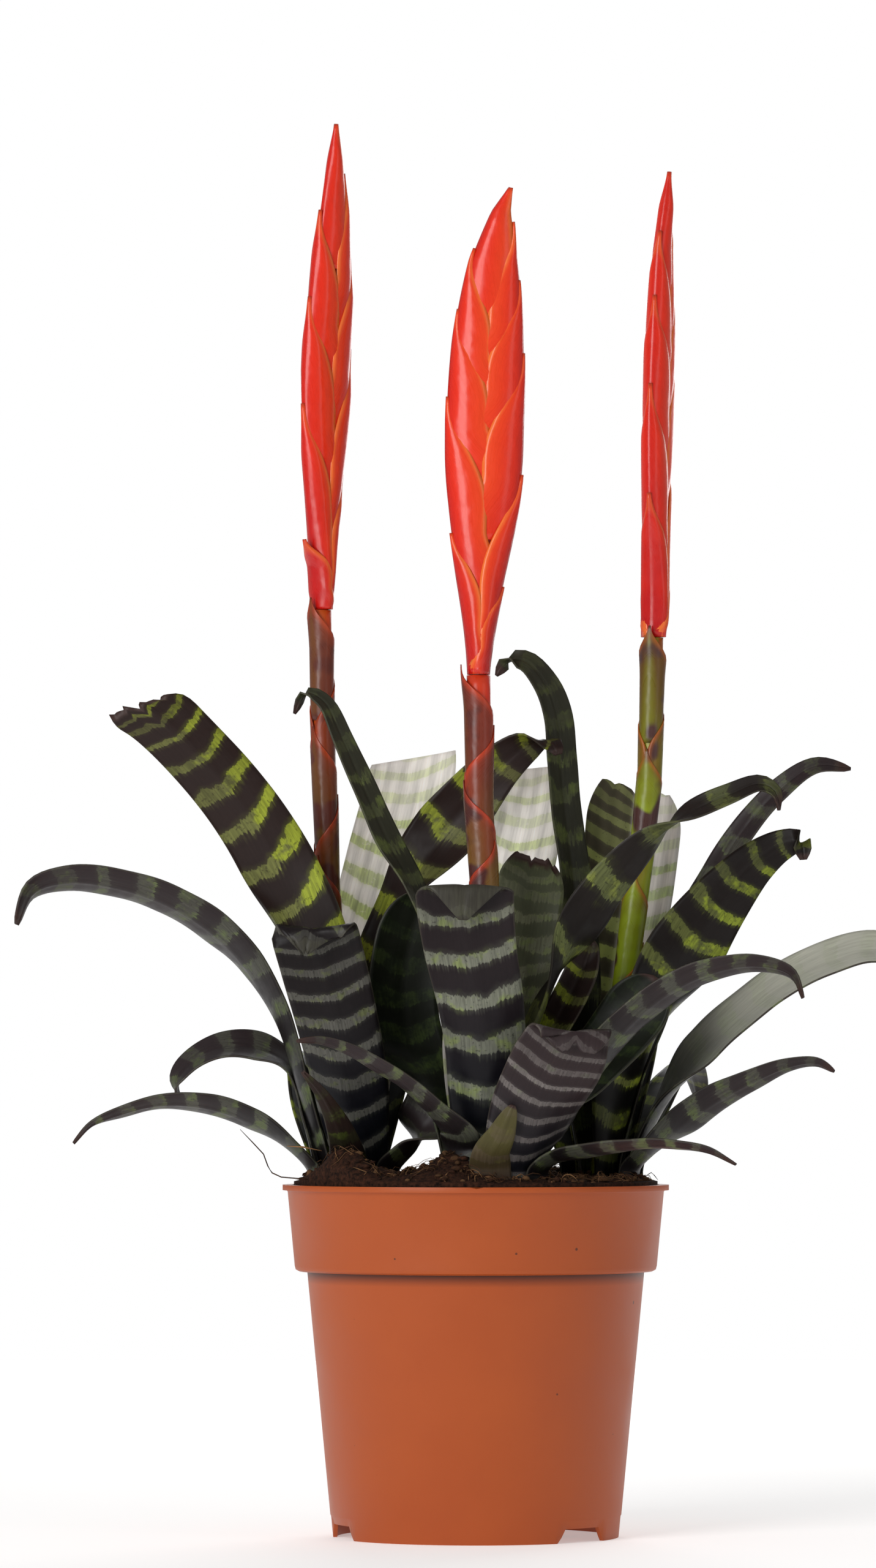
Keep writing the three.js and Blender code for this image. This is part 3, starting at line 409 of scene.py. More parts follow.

# %% [markdown]
# ## Pot and peat materials
# The pot is injection-moulded polypropylene in terracotta brown: an even, half matte colour with the very
# fine grain of the mould and a few specks of soil, and a painted shadow that darkens the wall just under the
# collar. Peat is a dark, fibrous crumb that reflects almost nothing, with pale fibres in it. Its material
# reads how pale each vertex is.

# %% Moulded plastic and peat
MOULD_GRAIN_MM = 0.35
SOIL_SPECK_MM = 6.6  # between specks
COLLAR_SHADOW_MM = 4   # how far the painted shadow under the collar runs down the wall
CRUMB_MM = 1.6


def moulded_plastic():
    material, tree, shader = new_material("polypropylene_terracotta")
    place = add(tree, "TexCoord", {}).outputs["Object"]
    cloud = add(tree, "TexNoise", {"Vector": place, "Scale": 1 / (30 * MM), "Detail": 3})
    specks = add(tree, "TexVoronoi", {"Vector": place, "Scale": 1 / (SOIL_SPECK_MM * MM)})
    sizes = add(tree, "SeparateColor", [specks.outputs["Color"]])
    grain = add(tree, "TexNoise", {"Vector": place, "Scale": 1 / (MOULD_GRAIN_MM * MM), "Detail": 1})
    colour = blend(tree, cloud, paint("#9F4517"), paint("#AB4F1C"))
    reach = add(tree, "MapRange", [sizes.outputs[0], 0.86, 1.0, 0.0, 0.09])
    gap = add(tree, "Math", [specks.outputs["Distance"], reach], "SUBTRACT")
    speck = add(tree, "MapRange", [gap, 0.0, 0.02, 0.8, 0.0])
    colour = blend(tree, speck, colour, paint("#3A2018"))
    # Painted shadow: the wall is darkened just under the collar's overhang.
    height = add(tree, "SeparateXYZ", [place]).outputs["Z"]
    below = add(tree, "Math", [height, COLLAR_LOW * MM], "LESS_THAN")
    collar_shadow = add(tree, "MapRange", [height, (COLLAR_LOW - COLLAR_SHADOW_MM) * MM, COLLAR_LOW * MM, 0,
                                 0.95])
    collar_shadow = add(tree, "Math", [collar_shadow, below], "MULTIPLY")
    colour = blend(tree, collar_shadow, colour, paint("#33140B"))
    rough = add(tree, "MapRange", [cloud, 0.3, 0.7, 0.38, 0.5])
    skin = add(tree, "Bump", {"Strength": 0.25, "Distance": 0.05 * MM, "Height": grain})
    feed(tree, shader, {"Base Color": colour, "Roughness": rough, "Normal": skin, "IOR": 1.49,
                        "Specular IOR Level": 0.35})
    return material


def peat():
    material, tree, shader = new_material("peat_fibrous")
    place = add(tree, "TexCoord", {}).outputs["Object"]
    pale = add(tree, "Attribute", {}, attribute_name="soil_tone").outputs["Fac"]
    crumb = add(tree, "TexNoise", {"Vector": place, "Scale": 1 / (CRUMB_MM * MM), "Detail": 5,
                                   "Roughness": 0.7})
    ramp = add(tree, "MapRange", [crumb, 0.35, 0.7])
    dark = blend(tree, ramp, paint("#0F0805"), paint("#44291C"))
    colour = blend(tree, pale, dark, paint("#96704C"))
    lumps = add(tree, "Bump", {"Strength": 0.6, "Distance": 0.8 * MM, "Height": crumb})
    feed(tree, shader, {"Base Color": colour, "Roughness": 0.95, "Normal": lumps, "Specular IOR Level": 0.15})
    return material


POT_PLASTIC = moulded_plastic()
PEAT = peat()

# %% [markdown]
# ## Pot
# The nursery pot is one moulding: a tapering wall, a deep collar that lets pots nest without jamming, and a
# thin lip. Spinning its section makes it in one step. The foot notches are pressed up into the wall's edge,
# the drain holes are cut, and a bevel gives every edge the small radius that a mould leaves.

# %% The section of the wall
POT_STEPS = 180
FOOT_BAND, FOOT_STEP = 7.3, 0.25     # height of the fine line round the foot, and how far the wall steps in
NOTCH_REACH, NOTCH_EASE = 13.5, 3.5  # half a notch and the ease of its ends, in degrees round the foot
NICK_DEPTH, NICK_HALF = 0.5, 2       # the nick in the lip, at the front
MOULD_RADIUS = 0.35


def body_radius(z):
    return mix(FOOT_RADIUS, BODY_TOP_RADIUS, z / COLLAR_LOW)


section = [
    (0, FLOOR_HEIGHT), (body_radius(FLOOR_HEIGHT) - WALL, FLOOR_HEIGHT), (FOOT_RADIUS - WALL, 0),
    (FOOT_RADIUS - FOOT_STEP, 0), (body_radius(FOOT_BAND) - FOOT_STEP, FOOT_BAND - 0.2),
    (body_radius(FOOT_BAND), FOOT_BAND + 0.2), (BODY_TOP_RADIUS, COLLAR_LOW),
    (COLLAR_LOW_RADIUS - 1.4, COLLAR_LOW), (COLLAR_LOW_RADIUS - 0.3, COLLAR_LOW + 0.6),
    (COLLAR_LOW_RADIUS, COLLAR_LOW + 1.8), (COLLAR_TOP_RADIUS, RIM_HEIGHT - LIP_THICKNESS - 0.5),
    (COLLAR_TOP_RADIUS + 0.4, RIM_HEIGHT - LIP_THICKNESS), (RIM_RADIUS, RIM_HEIGHT - LIP_THICKNESS),
    (RIM_RADIUS, RIM_HEIGHT), (COLLAR_TOP_RADIUS - WALL, RIM_HEIGHT),
    (COLLAR_LOW_RADIUS - WALL, COLLAR_LOW + WALL + 1), (BODY_TOP_RADIUS - WALL, COLLAR_LOW - 0.5),
    (body_radius(FLOOR_TOP) - WALL, FLOOR_TOP), (0, FLOOR_TOP),
]

# %% Spin it, and press up the notches
bm = bmesh.new()
spun(bm, section, POT_STEPS)
for vertex in bm.verts:
    if vertex.co.z < 0.1 * MM:
        angle = math.degrees(math.atan2(vertex.co.y, vertex.co.x))
        away = min(abs((angle - notch + 180) % 360 - 180) for notch in NOTCH_ANGLES)
        vertex.co.z = NOTCH_HEIGHT * MM * min(1, max(0, (NOTCH_REACH - away) / NOTCH_EASE))
    elif vertex.co.y < 0 and abs(vertex.co.x) < NICK_HALF * MM and vertex.co.z > (RIM_HEIGHT - 0.1) * MM:
        vertex.co.z -= NICK_DEPTH * MM * (math.hypot(vertex.co.x, vertex.co.y) > (RIM_RADIUS - 0.5) * MM)

# %% Cut the drain holes
drill = bmesh.new()
for i in range(DRAIN_COUNT):
    angle = 2 * math.pi * i / DRAIN_COUNT
    hole = bmesh.ops.create_cone(drill, cap_ends=True, segments=32, radius1=DRAIN_RADIUS * MM,
                                 radius2=DRAIN_RADIUS * MM, depth=8 * MM)
    middle = Vector((math.cos(angle), math.sin(angle), 0)) * DRAIN_CIRCLE + Vector((0, 0, FLOOR_HEIGHT))
    bmesh.ops.translate(drill, verts=hole["verts"], vec=middle * MM)
drill_bits = new_object("drill", drill)

pot = finished("pot_moulding", bm, [POT_PLASTIC], "pot")
cut = pot.modifiers.new("drain", "BOOLEAN")
cut.object = drill_bits
drilled = bpy.data.meshes.new_from_object(pot.evaluated_get(bpy.context.evaluated_depsgraph_get()))
pot.modifiers.clear()
pot.data = drilled
bpy.data.objects.remove(drill_bits)
edges = pot.modifiers.new("mould_radius", "BEVEL")
edges.width, edges.segments = MOULD_RADIUS * MM, 2
edges.limit_method, edges.angle_limit = "ANGLE", math.radians(35)
for face in pot.data.polygons:
    face.use_smooth = True
print("pot faces:", len(pot.data.polygons))

# %% [markdown]
# ## Soil
# The peat fills the pot and mounds a little above its rim. Its surface is a spun disc whose rings are moved
# up and down by noise. Loose crumbs and fibres lie on it, dropped at random but the same each run. They all
# belong to the one body of peat, so they share its mesh.

# %% The mound
SOIL_RADIUS = COLLAR_TOP_RADIUS - WALL - GAP - 0.2
SOIL_RINGS, SOIL_STEPS = 34, 150
CRUMBS, CRUMB_SIZES = 1900, (0.35, 1.2)
FIBRES, FIBRE_LENGTHS, FIBRE_WIDTHS = 900, (2, 10), (0.12, 0.4)
toss = random.Random(23)

bm = bmesh.new()
tone = bm.verts.layers.float.new("soil_tone")
profile = [(0, FLOOR_TOP + GAP), (body_radius(FLOOR_TOP) - WALL - 1, FLOOR_TOP + GAP),
           (BODY_TOP_RADIUS - WALL - 0.8, COLLAR_LOW - 1),
           (COLLAR_LOW_RADIUS - WALL - 0.8, COLLAR_LOW + WALL + 2.5), (SOIL_RADIUS, RIM_HEIGHT - 2)]
profile += [(SOIL_RADIUS * (1 - i / SOIL_RINGS), RIM_HEIGHT) for i in range(SOIL_RINGS + 1)]
spun(bm, profile, SOIL_STEPS)


def surface(x, y):
    """Height of the crumbly surface."""
    edge = smooth(SOIL_RADIUS, SOIL_RADIUS - 5, math.hypot(x, y))
    level = mix(RIM_HEIGHT + 0.3, soil_height(x, y), 0.5 + 0.5 * edge)
    spot = Vector((x, y, 0))
    rough = 2 * noise.noise(spot / 6) + 1.5 * abs(noise.noise(spot / 2.4)) + 0.6 * noise.noise(spot / 1.1)
    return level + edge * (rough - 0.7)


for vertex in bm.verts:
    if vertex.co.z > (RIM_HEIGHT - 1) * MM:
        vertex.co.z = surface(vertex.co.x / MM, vertex.co.y / MM) * MM


# %% Crumbs and fibres
def on_soil():
    """A random place on the peat, as often in one part of it as in another."""
    angle, r = toss.uniform(0, 2 * math.pi), (SOIL_RADIUS - 2) * math.sqrt(toss.uniform(0.02, 1))
    return r * math.cos(angle), r * math.sin(angle)


for _ in range(CRUMBS):
    x, y = on_soil()
    size = toss.uniform(*CRUMB_SIZES) * toss.choice((1, 1, 1, 1.8))
    lump = bmesh.ops.create_icosphere(bm, subdivisions=1, radius=1)["verts"]
    turn = Vector((toss.uniform(0.5, 1.3), toss.uniform(0.5, 1.3), toss.uniform(0.4, 0.9))) * size
    where = Vector((x, y, surface(x, y) + 0.25 * size))
    pale = toss.choice((0, 0, 0.05, 0.15, 0.3))
    for vertex in lump:
        rough = 1 + 0.5 * noise.noise(vertex.co * 1.7 + where)
        vertex.co = (Vector(vertex.co * turn) * rough + where) * MM
        vertex[tone] = pale


def strand(points, thickness, pale):
    """A thin three-sided fibre along a few points, which tapers at both ends."""
    before = None
    for i, point in enumerate(points):
        ahead = points[min(i + 1, len(points) - 1)] - points[max(0, i - 1)]
        side = ahead.orthogonal().normalized()
        up = ahead.normalized().cross(side)
        r = thickness / 2 * (0.4 if i in (0, len(points) - 1) else 1)
        ring = []
        for k in range(3):
            angle = 2 * math.pi * k / 3
            vertex = bm.verts.new((point + side * (r * math.cos(angle)) + up * (r * math.sin(angle))) * MM)
            vertex[tone] = pale
            ring.append(vertex)
        if before:
            for k in range(3):
                bm.faces.new((before[k], before[(k + 1) % 3], ring[(k + 1) % 3], ring[k]))
        else:
            bm.faces.new(ring[::-1])
        before = ring
    bm.faces.new(before)


for _ in range(FIBRES):
    x, y = on_soil()
    angle, bow = toss.uniform(0, 2 * math.pi), toss.uniform(-0.9, 0.9)
    length = toss.uniform(*FIBRE_LENGTHS)
    lift = toss.uniform(0, 2.2)
    points = []
    for k in range(5):
        t = k / 4
        way = angle + bow * t
        px, py = x + length * t * math.cos(way), y + length * t * math.sin(way)
        if math.hypot(px, py) > SOIL_RADIUS + 0.5:
            break
        points.append(Vector((px, py, surface(px, py) + 0.3 + lift * math.sin(math.pi * t))))
    if len(points) > 2:
        strand(points, toss.uniform(*FIBRE_WIDTHS), toss.choice((0.1, 0.25, 0.25, 0.5, 0.9)))

# A dead root hangs from the lowest leaf down to the rim on the left. A pale straw lies on that leaf's foot.
dead_root = ((-79, -12, 136.6), (-74.5, -16, 132), (-71, -20, 128.4), (-69.5, -23, 124.5), (-68, -25, 122.3),
             (-64.9, -26, 120.9), (-59, -25, 120.4), (-53.7, -24, 120))
strand([Vector(p) for p in dead_root], 0.5, 0.1)
straw = ((-63.3, -12, 131.1), (-58, -14, 130.8), (-51.6, -16, 129.5))
strand([Vector(p) for p in straw], 0.7, 1)
soil = finished("soil_peat", bm, [PEAT], "soil")
print("soil faces:", len(soil.data.polygons))

# %% [markdown]
# ## Leaves
# A strap leaf is one thin blade that starts as an upright sheath, nested in the round funnel of its plant,
# and then bends over under its own weight. Each row below says how one leaf runs: its place in the funnel
# counted outwards, its direction, its width, the points that its middle line passes, and the direction of
# its width at the middle and, where it turns, at the tip. `tip` gives where the tip's narrowing begins, the
# share of the width left at its end, how much the end slants and how far its outline is straight, as a
# point's is. `channel` flattens or arches the outer part, `bands` gives the spacing of the cross bands at
# the base and at the tip, `lean` how far the bands slope across the leaf, `notch` and `torn` how far the
# end is cut in at its middle and frayed, and `inner` the look of the side that faces the plant, where that
# is another.

# %% The rows of the leaves
ROUND_TIP = (0.85, 0.17, 0, 0)
EVEN_BANDS = (14, 7)

# %% The leaves of the left plant
LEFT_LEAVES = [
    dict(name="pale_back", order=1, az=78, width=31, taper=1, tip=(0.93, 0.9, -5, 0),
         across=((-1, 0, 0),), kind="pale", bands=(13, 7),
         spine=((-39, 19, 165), (-38, 24, 186), (-34, 28, 207), (-29, 31, 228), (-24, 32, 247),
                (-21, 32, 263))),
    dict(name="inner_right", order=0, az=48, width=26, taper=0.85, tip=(0.72, 0.12, 0, 0.5),
         across=((-1, 0.1, 0), (-1, 0, 0)), kind="lively", bands=(18, 6),
         spine=((-35, 10, 150), (-33, 11, 178), (-27, 11, 205), (-17, 11, 227), (-4, 11, 245),
                (9, 10, 260), (19, 8, 267), (26, 5, 267), (28, 3, 263))),
    dict(name="tall_left", order=2, az=-148, width=30, taper=0.75, tip=(0.95, 0.7, -7, 0), channel=0.6,
         across=((1, -0.2, 0.2), (1, 0, 0.3)), kind="lively", bands=(18, 5), lean=-0.36, torn=3,
         spine=((-46, -7, 150), (-49, -11, 172), (-55, -14, 198), (-65, -17, 222), (-78, -20, 244),
                (-94, -23, 263), (-107, -25, 275), (-114, -26, 279))),
    dict(name="back_right", order=3, az=62, width=24, taper=0.6,
         across=((-1, 0.4, 0),), kind="dark",
         spine=((-32, 21, 150), (-29, 40, 180), (-27, 60, 202), (-26, 80, 207), (-26, 92, 199))),
    dict(name="back_left", order=4, az=105, width=26, taper=0.7,
         across=((-1, -0.2, 0),), kind="dark",
         spine=((-43, 23, 146), (-46, 42, 175), (-48, 62, 194), (-49, 80, 198), (-49, 93, 190))),
    dict(name="front_notched", order=5, az=-78, width=27, taper=1.1, tip=(0.9, 0.08, 0, 1), channel=-0.4,
         across=((1, 0, 0),), kind="notched", bands=(13, 4.5), notch=1.5, torn=1.5,
         spine=((-41, -13, 140), (-44, -23, 160), (-48, -31, 180), (-52, -38.5, 196), (-54, -42, 202.5),
                (-55.5, -45.5, 203), (-56.2, -47, 198.5), (-56.5, -47, 194))),
    dict(name="low_right", order=7, az=-12, width=25, taper=0.8,
         across=((-1, 0.25, 0),), kind="thin", bands=(12, 7),
         spine=((-20.5, -1, 130), (-16, -1.5, 139), (-13, -1.5, 147), (-12, -1, 153))),
    dict(name="long_arching", order=6, az=178, width=28, taper=0.55,
         across=((0, -0.85, 0.5),), kind="thin", bands=(16, 9),
         spine=((-59, 3, 147), (-68, 1, 175), (-82, -4, 197), (-101, -11, 211), (-121, -16, 218),
                (-137, -19, 219.5), (-148, -20, 216), (-153.5, -20, 205))),
    dict(name="back_low", order=9, az=130, width=22, taper=0.5,
         across=((-0.7, -0.7, 0),), kind="dark",
         spine=((-53, 20, 134), (-57, 36, 154), (-59, 55, 163), (-59, 74, 158), (-59, 84, 149))),
    dict(name="curled_left", order=8, az=160, width=20, taper=0.6,
         across=((-0.1, -0.8, -0.6), (0.1, -0.7, -0.6)), kind="thin", bands=(14, 8),
         spine=((-57, 11, 140), (-62, 12.5, 156), (-72, 13, 163), (-86, 13, 164), (-96, 13, 159),
                (-101, 13, 152), (-99, 13, 144))),
    dict(name="lowest_left", order=10, az=-168, width=18, taper=0.45, tip=(0.6, 0.1, 0, 0),
         across=((0, -0.9, 0.45), (0, -0.9, 0.4)), kind="thin", bands=(13, 8),
         spine=((-65, -2, 132), (-76, -4, 139), (-90, -6, 144), (-106, -8, 145), (-119, -9, 142),
                (-129, -10, 138), (-135, -10, 132))),
    dict(name="short_front", order=11, az=-102, width=14, taper=0.8, tip=(0.3, 0.1, 0, 0.8),
         across=((1, -0.3, 0.4), (0.8, -0.3, 0.6)), kind="brown",
         spine=((-43, -19, 128), (-46, -28, 138), (-51, -36, 148), (-57.5, -42, 156))),
]

# %% The leaves of the middle plant
MIDDLE_LEAVES = [
    dict(name="pale_back", order=5, az=95, width=28, taper=1, tip=(0.93, 0.85, -2.5, 0),
         across=((-1, 0, 0),), kind="pale", bands=(12, 6),
         spine=((1, -12, 151), (3, -3, 172), (8, 6, 195), (13, 14, 225), (17, 19, 245), (19, 22, 259))),
    dict(name="back", order=8, az=102, width=22, taper=0.6,
         across=((-1, 0, 0),), kind="dark",
         spine=((1, -6, 147), (-1, 16, 178), (-3, 38, 198), (-4, 62, 202), (-5, 80, 192))),
    dict(name="inner_back_right", order=4, az=33, width=15, taper=0.8,
         across=((-0.9, 0.4, 0.2), (-0.9, 0.3, 0.3)), kind="lively", bands=(14, 7),
         spine=((16, -22, 149), (26, -16, 170), (35, -13, 188), (39, -12, 200))),
    dict(name="hooked_left", order=0, az=176, width=15, taper=0.55, tip=(0.75, 0.1, 0, 0),
         across=((-0.8, -0.6, 0), (-0.9, -0.5, -0.4)), kind="hooked", bands=(14, 8),
         spine=((-7, -28, 150), (-9, -25, 175), (-14, -22, 198), (-21, -19, 217), (-30, -15, 234),
                (-38, -12, 252), (-45, -11, 268), (-51, -11, 280), (-57, -11, 283), (-61, -11, 276))),
    dict(name="crumpled_right", order=3, az=64, width=26, taper=0.9, tip=(0.9, 0.6, 1.5, 0), channel=0.5,
         across=((-1, 0.1, 0), (-1, 0, 0)), kind="mottled", bands=(11, 6), wave=0.6, torn=3,
         spine=((8, -19, 145), (11, -13, 166), (14, -9, 187), (17, -8, 207), (19, -9, 222),
                (20, -12, 229))),
    dict(name="long_right", order=1, az=4, width=21, taper=0.45, tip=(0.8, 0.12, 0, 0.3),
         across=((0.6, 0.35, -0.7), (0.1, 0.4, 0.9)), kind="arched", bands=(26, 16),
         spine=((14, -29, 148), (20, -27, 170), (29, -26, 192), (39, -26, 211), (53, -26, 228),
                (68, -26, 240), (84, -26, 248), (95, -26, 252), (100, -27, 249), (101, -28, 243))),
    dict(name="front_folded", order=6, az=-92, width=27, taper=1.25, tip=(0.88, 0.08, 0, 1), channel=-0.4,
         across=((1, 0, 0),), kind="folded", bands=(17, 8), notch=0, torn=0,
         spine=((3, -48, 145), (3, -53, 162), (1, -57, 180), (-2, -60, 196), (-3.5, -63, 208),
                (-4, -66.5, 216), (-4, -69.5, 217), (-4.2, -70.5, 212.5), (-4.5, -70, 205.5))),
    dict(name="shaded_left", order=7, az=146, width=26, taper=0.9,
         across=((-1, -0.3, 0), (-1, -0.1, 0)), kind="green", bands=(14, 8),
         spine=((-13, -19, 145), (-22, -8, 163), (-25, -5, 182), (-22, -5, 202), (-17, -5, 216))),
    dict(name="wide_right", order=9, az=24, width=29, taper=0.8,
         across=((-0.6, 0.8, 0.4), (-0.8, 0.3, 0.6)), kind="green", bands=(14, 8),
         spine=((24, -21, 138), (34, -19, 151), (44, -19, 163), (53, -19, 175), (61, -20, 187))),
    dict(name="arching_right", order=10, az=-24, width=20, taper=0.5, tip=(0.7, 0.1, 0, 0),
         across=((0.1, 0.8, -0.6), (0, 0.8, -0.6)), kind="thin", bands=(14, 8),
         spine=((28, -42, 138), (37, -46, 155), (47, -50, 168), (60, -55, 180), (75, -60, 188),
                (91, -64, 191), (103, -66, 188), (107, -67, 180))),
    dict(name="thin_front_left", order=11, az=-118, width=14, taper=0.45, tip=(0.6, 0.1, 0, 0),
         across=((0.3, -0.9, 0.3), (0.3, -0.7, 0.6)), kind="thin", bands=(12, 7),
         spine=((-6, -53, 135), (-15, -58, 144), (-24, -62, 152), (-33, -66, 158), (-42, -69, 163),
                (-51, -72, 166), (-59, -74, 166))),
    dict(name="front_right_split", order=12, az=-48, width=30, taper=1.07, tip=(0.72, 0.4, 0, 0.1),
         channel=-0.3, across=((1, 0.1, 0), (1, 0, 0)), kind="stripes", bands=(8, 4.5), notch=3, torn=1,
         spine=((17, -50, 130), (19, -55, 141), (23, -59, 152), (28, -63, 162.5), (31, -66, 168),
                (32.5, -69, 169), (32.5, -70.5, 166), (32, -70.5, 162))),
    dict(name="short_rim", order=13, az=-86, width=15, taper=0.8, tip=(0.25, 0.1, 0, 0),
         across=((1, 0, 0),), kind="olive",
         spine=((5, -54, 129), (8, -57, 135), (10, -59, 140), (12, -60, 145))),
    dict(name="low_front_right", order=14, az=-33, width=13, taper=0.5, tip=(0.5, 0.1, 0, 0),
         across=((0.5, 0.8, -0.3), (0.3, 0.8, -0.5)), kind="thin",
         spine=((25, -45, 126), (36, -54, 129), (49, -64, 131), (62, -73, 132), (75, -82, 130),
                (84, -90, 126))),
]

# %% The leaves of the right plant
RIGHT_LEAVES = [
    dict(name="pale_back", order=2, az=88, width=34, taper=1, tip=(0.9, 0.7, 2, 0),
         across=((-1, 0, 0),), kind="half_pale", bands=(12, 5), notch=2.5, torn=2,
         spine=((43, 21, 160), (47, 27, 190), (51, 30, 215), (54, 32, 240), (55, 32, 254))),
    dict(name="hooked_left", order=0, az=150, width=16, taper=0.65, tip=(0.8, 0.1, 0, 0),
         across=((-0.8, -0.6, 0), (-0.95, -0.3, -0.4)), kind="hooked", bands=(14, 8),
         spine=((34, 12, 150), (35, 14, 186), (34, 15, 211), (32, 15, 230), (30, 15.5, 247),
                (29, 15.5, 262), (28, 15, 276), (24, 14, 287), (17, 13, 295), (11, 12, 295), (7, 11, 290))),
    dict(name="tall_back_right", order=3, az=28, width=19, taper=0.5, tip=(0.75, 0.1, 0, 0),
         across=((-0.3, 0.7, 0.6), (-0.3, 0.5, 0.8)), kind="thin", bands=(16, 8),
         spine=((54, 13, 152), (61, 18, 173), (69, 21, 197), (80, 24, 219), (91, 25, 237),
                (104, 25, 252), (116, 25, 260), (128, 25, 259))),
    dict(name="big_right", order=1, az=-38, width=33, taper=0.68, tip=(0.62, 0.1, 0, 0.45),
         across=((0.8, 0.3, -0.5), (0.8, 0, -0.6)), kind="dark", bands=(14, 6), torn=0,
         spine=((51, -4, 150), (57, -7, 168), (65, -8, 185), (74, -9, 201), (84, -9, 215),
                (94, -9, 226), (103, -9, 232), (109, -10, 233), (110, -10.5, 227))),
    dict(name="back_right", order=5, az=62, width=25, taper=0.7,
         across=((-1, 0.4, 0),), kind="dark",
         spine=((49, 24, 148), (54, 42, 176), (57, 60, 194), (58, 79, 197), (58, 92, 188))),
    dict(name="back_left", order=6, az=116, width=24, taper=0.7,
         across=((-1, -0.3, 0),), kind="dark",
         spine=((32, 27, 142), (30, 44, 166), (29, 62, 182), (28, 80, 185), (28, 92, 177))),
    dict(name="channelled_right", order=7, az=-2, width=29, taper=0.6,
         across=((0, 0.8, 0.55), (0, 0.75, 0.6)), kind="thin", bands=(15, 8), inner="silver",
         spine=((62, 4, 141), (72, 3, 156), (86, 2, 171), (102, 2, 184), (119, 2, 193), (134, 2, 197),
                (145, 2, 194), (151, 2, 186))),
    dict(name="low_right", order=8, az=-26, width=17, taper=0.5, tip=(0.5, 0.1, 0, 0),
         across=((0.2, 0.7, -0.65), (0, 0.7, -0.65)), kind="thin", bands=(13, 7),
         spine=((60, -6, 130), (69, -10, 138), (80, -13, 146), (93, -15, 153), (105, -16, 158),
                (114, -16, 159), (120, -16, 156))),
    dict(name="back_low", order=9, az=42, width=20, taper=0.5,
         across=((-0.6, 0.8, 0),), kind="dark",
         spine=((56, 19, 134), (65, 34, 150), (72, 50, 157), (76, 67, 153), (78, 76, 145))),
]

# %% [markdown]
# The middle line is one smooth curve through the row's points, cut into steps of equal length. Across it
# lies an arc: round the plant's own axis in the funnel, where the leaves must nest, and then a shallow
# channel that turns the leaf's own way. The grid of each leaf is laid on those arcs.


# %% The middle line of a leaf
def smooth_route(points, pieces=16):
    """One smooth curve through all the points, with its loops kept small by their spacing."""
    ends = [2 * points[0] - points[1], *points, 2 * points[-1] - points[-2]]
    route = []
    for a, b, c, d in zip(ends, ends[1:], ends[2:], ends[3:]):
        before, here, after = ((q - p).length ** 0.5 for p, q in ((a, b), (b, c), (c, d)))
        leave = ((b - a) / before - (c - a) / (before + here) + (c - b) / here) * here
        arrive = ((c - b) / here - (d - b) / (here + after) + (d - c) / after) * here
        route += geometry.interpolate_bezier(b, b + leave / 3, c - arrive / 3, c, pieces + 1)[:-1]
    return route + [points[-1]]


def even_steps(route, steps):
    """Points and directions at equal steps along a route, and its length."""
    run = [0]
    for a, b in zip(route, route[1:]):
        run.append(run[-1] + (b - a).length)
    places = []
    i = 0
    for k in range(steps + 1):
        goal = run[-1] * k / steps
        while i < len(route) - 2 and run[i + 1] < goal:
            i += 1
        t = (goal - run[i]) / (run[i + 1] - run[i])
        places.append(route[i].lerp(route[i + 1], t))
    pairs = [(places[max(0, k - 1)], places[min(steps, k + 1)]) for k in range(steps + 1)]
    return places, [(b - a).normalized() for a, b in pairs], run[-1]


# %% The frames of a leaf
STATIONS, ACROSS_SPANS = 88, 16
BANDS_OPEN = 35      # the distance from the tip over which the bands come to stand apart, in mm


def leaf_frames(plant, leaf):
    """Centre, width direction, upper side, half width, turn, tangent, slant and channel by station."""
    cx, cy = PLANTS[plant]
    angle = math.radians(leaf["az"])
    radius = CORE_RADIUS + LEAF_PITCH * leaf["order"]
    x, y = cx + radius * math.cos(angle), cy + radius * math.sin(angle)
    rim = soil_height(x, y) + RISE
    foot = [Vector((x, y, HOLE_FLOOR + GAP)), Vector((x, y, rim - 3)), Vector((x, y, rim))]
    route = smooth_route(foot + [Vector(p) for p in leaf["spine"]])
    places, ways, length = even_steps(route, STATIONS)
    middle, end = (Vector(leaf["across"][i]).normalized() for i in (0, -1))
    base = min(BASE_ARC, 0.5 * leaf["width"])
    tip_from, tip_share, tip_slant, tip_point = leaf.get("tip", ROUND_TIP)
    frames = []
    for k, (centre, tangent) in enumerate(zip(places, ways)):
        s = k / STATIONS
        radial = Vector((centre.x - cx, centre.y - cy, 0))
        reach = radial.length
        free = max(smooth(FUNNEL_INNER, FUNNEL_OUTER, reach), smooth(0.5, 0.8, s))
        across = Vector((-radial.y, radial.x, 0)) / reach
        across = across.lerp(middle, free).lerp(end, smooth(0.55, 0.95, s))
        across = (across - tangent * across.dot(tangent)).normalized()
        full = leaf["width"] / 2 * mix(1, leaf["taper"], smooth(0.3, 0.95, s))
        rounding = max(0, (s - tip_from) / (1 - tip_from))
        tip = math.sqrt(1 - (1 - tip_share ** 2) * rounding ** 2)
        tip = mix(tip, 1 - (1 - tip_share) * rounding, tip_point)
        half = min(mix(base, full, smooth(0.1, 0.4, s)), MOST_WRAP * reach) * tip
        bend = min(reach, half / LEAST_TURN)
        slant = tip_slant * smooth(0.6, 1, s)
        channel = mix(1, leaf.get("channel", 1), smooth(0.5, 0.8, s))
        frames.append((centre, across, tangent.cross(across), half, half / bend, tangent, slant, channel))
    return frames, length


def band_counts(leaf, length):
    """The running count of cross bands at each station: close near the tip, wide apart at the base."""
    wide, close = leaf.get("bands", EVEN_BANDS)
    counts = [leaf["order"] * 0.37]
    for k in range(1, STATIONS + 1):
        from_tip = length * (1 - k / STATIONS)
        spacing = mix(wide, close, math.exp(-from_tip / BANDS_OPEN))
        counts.append(counts[-1] + length / STATIONS / spacing)
    return counts


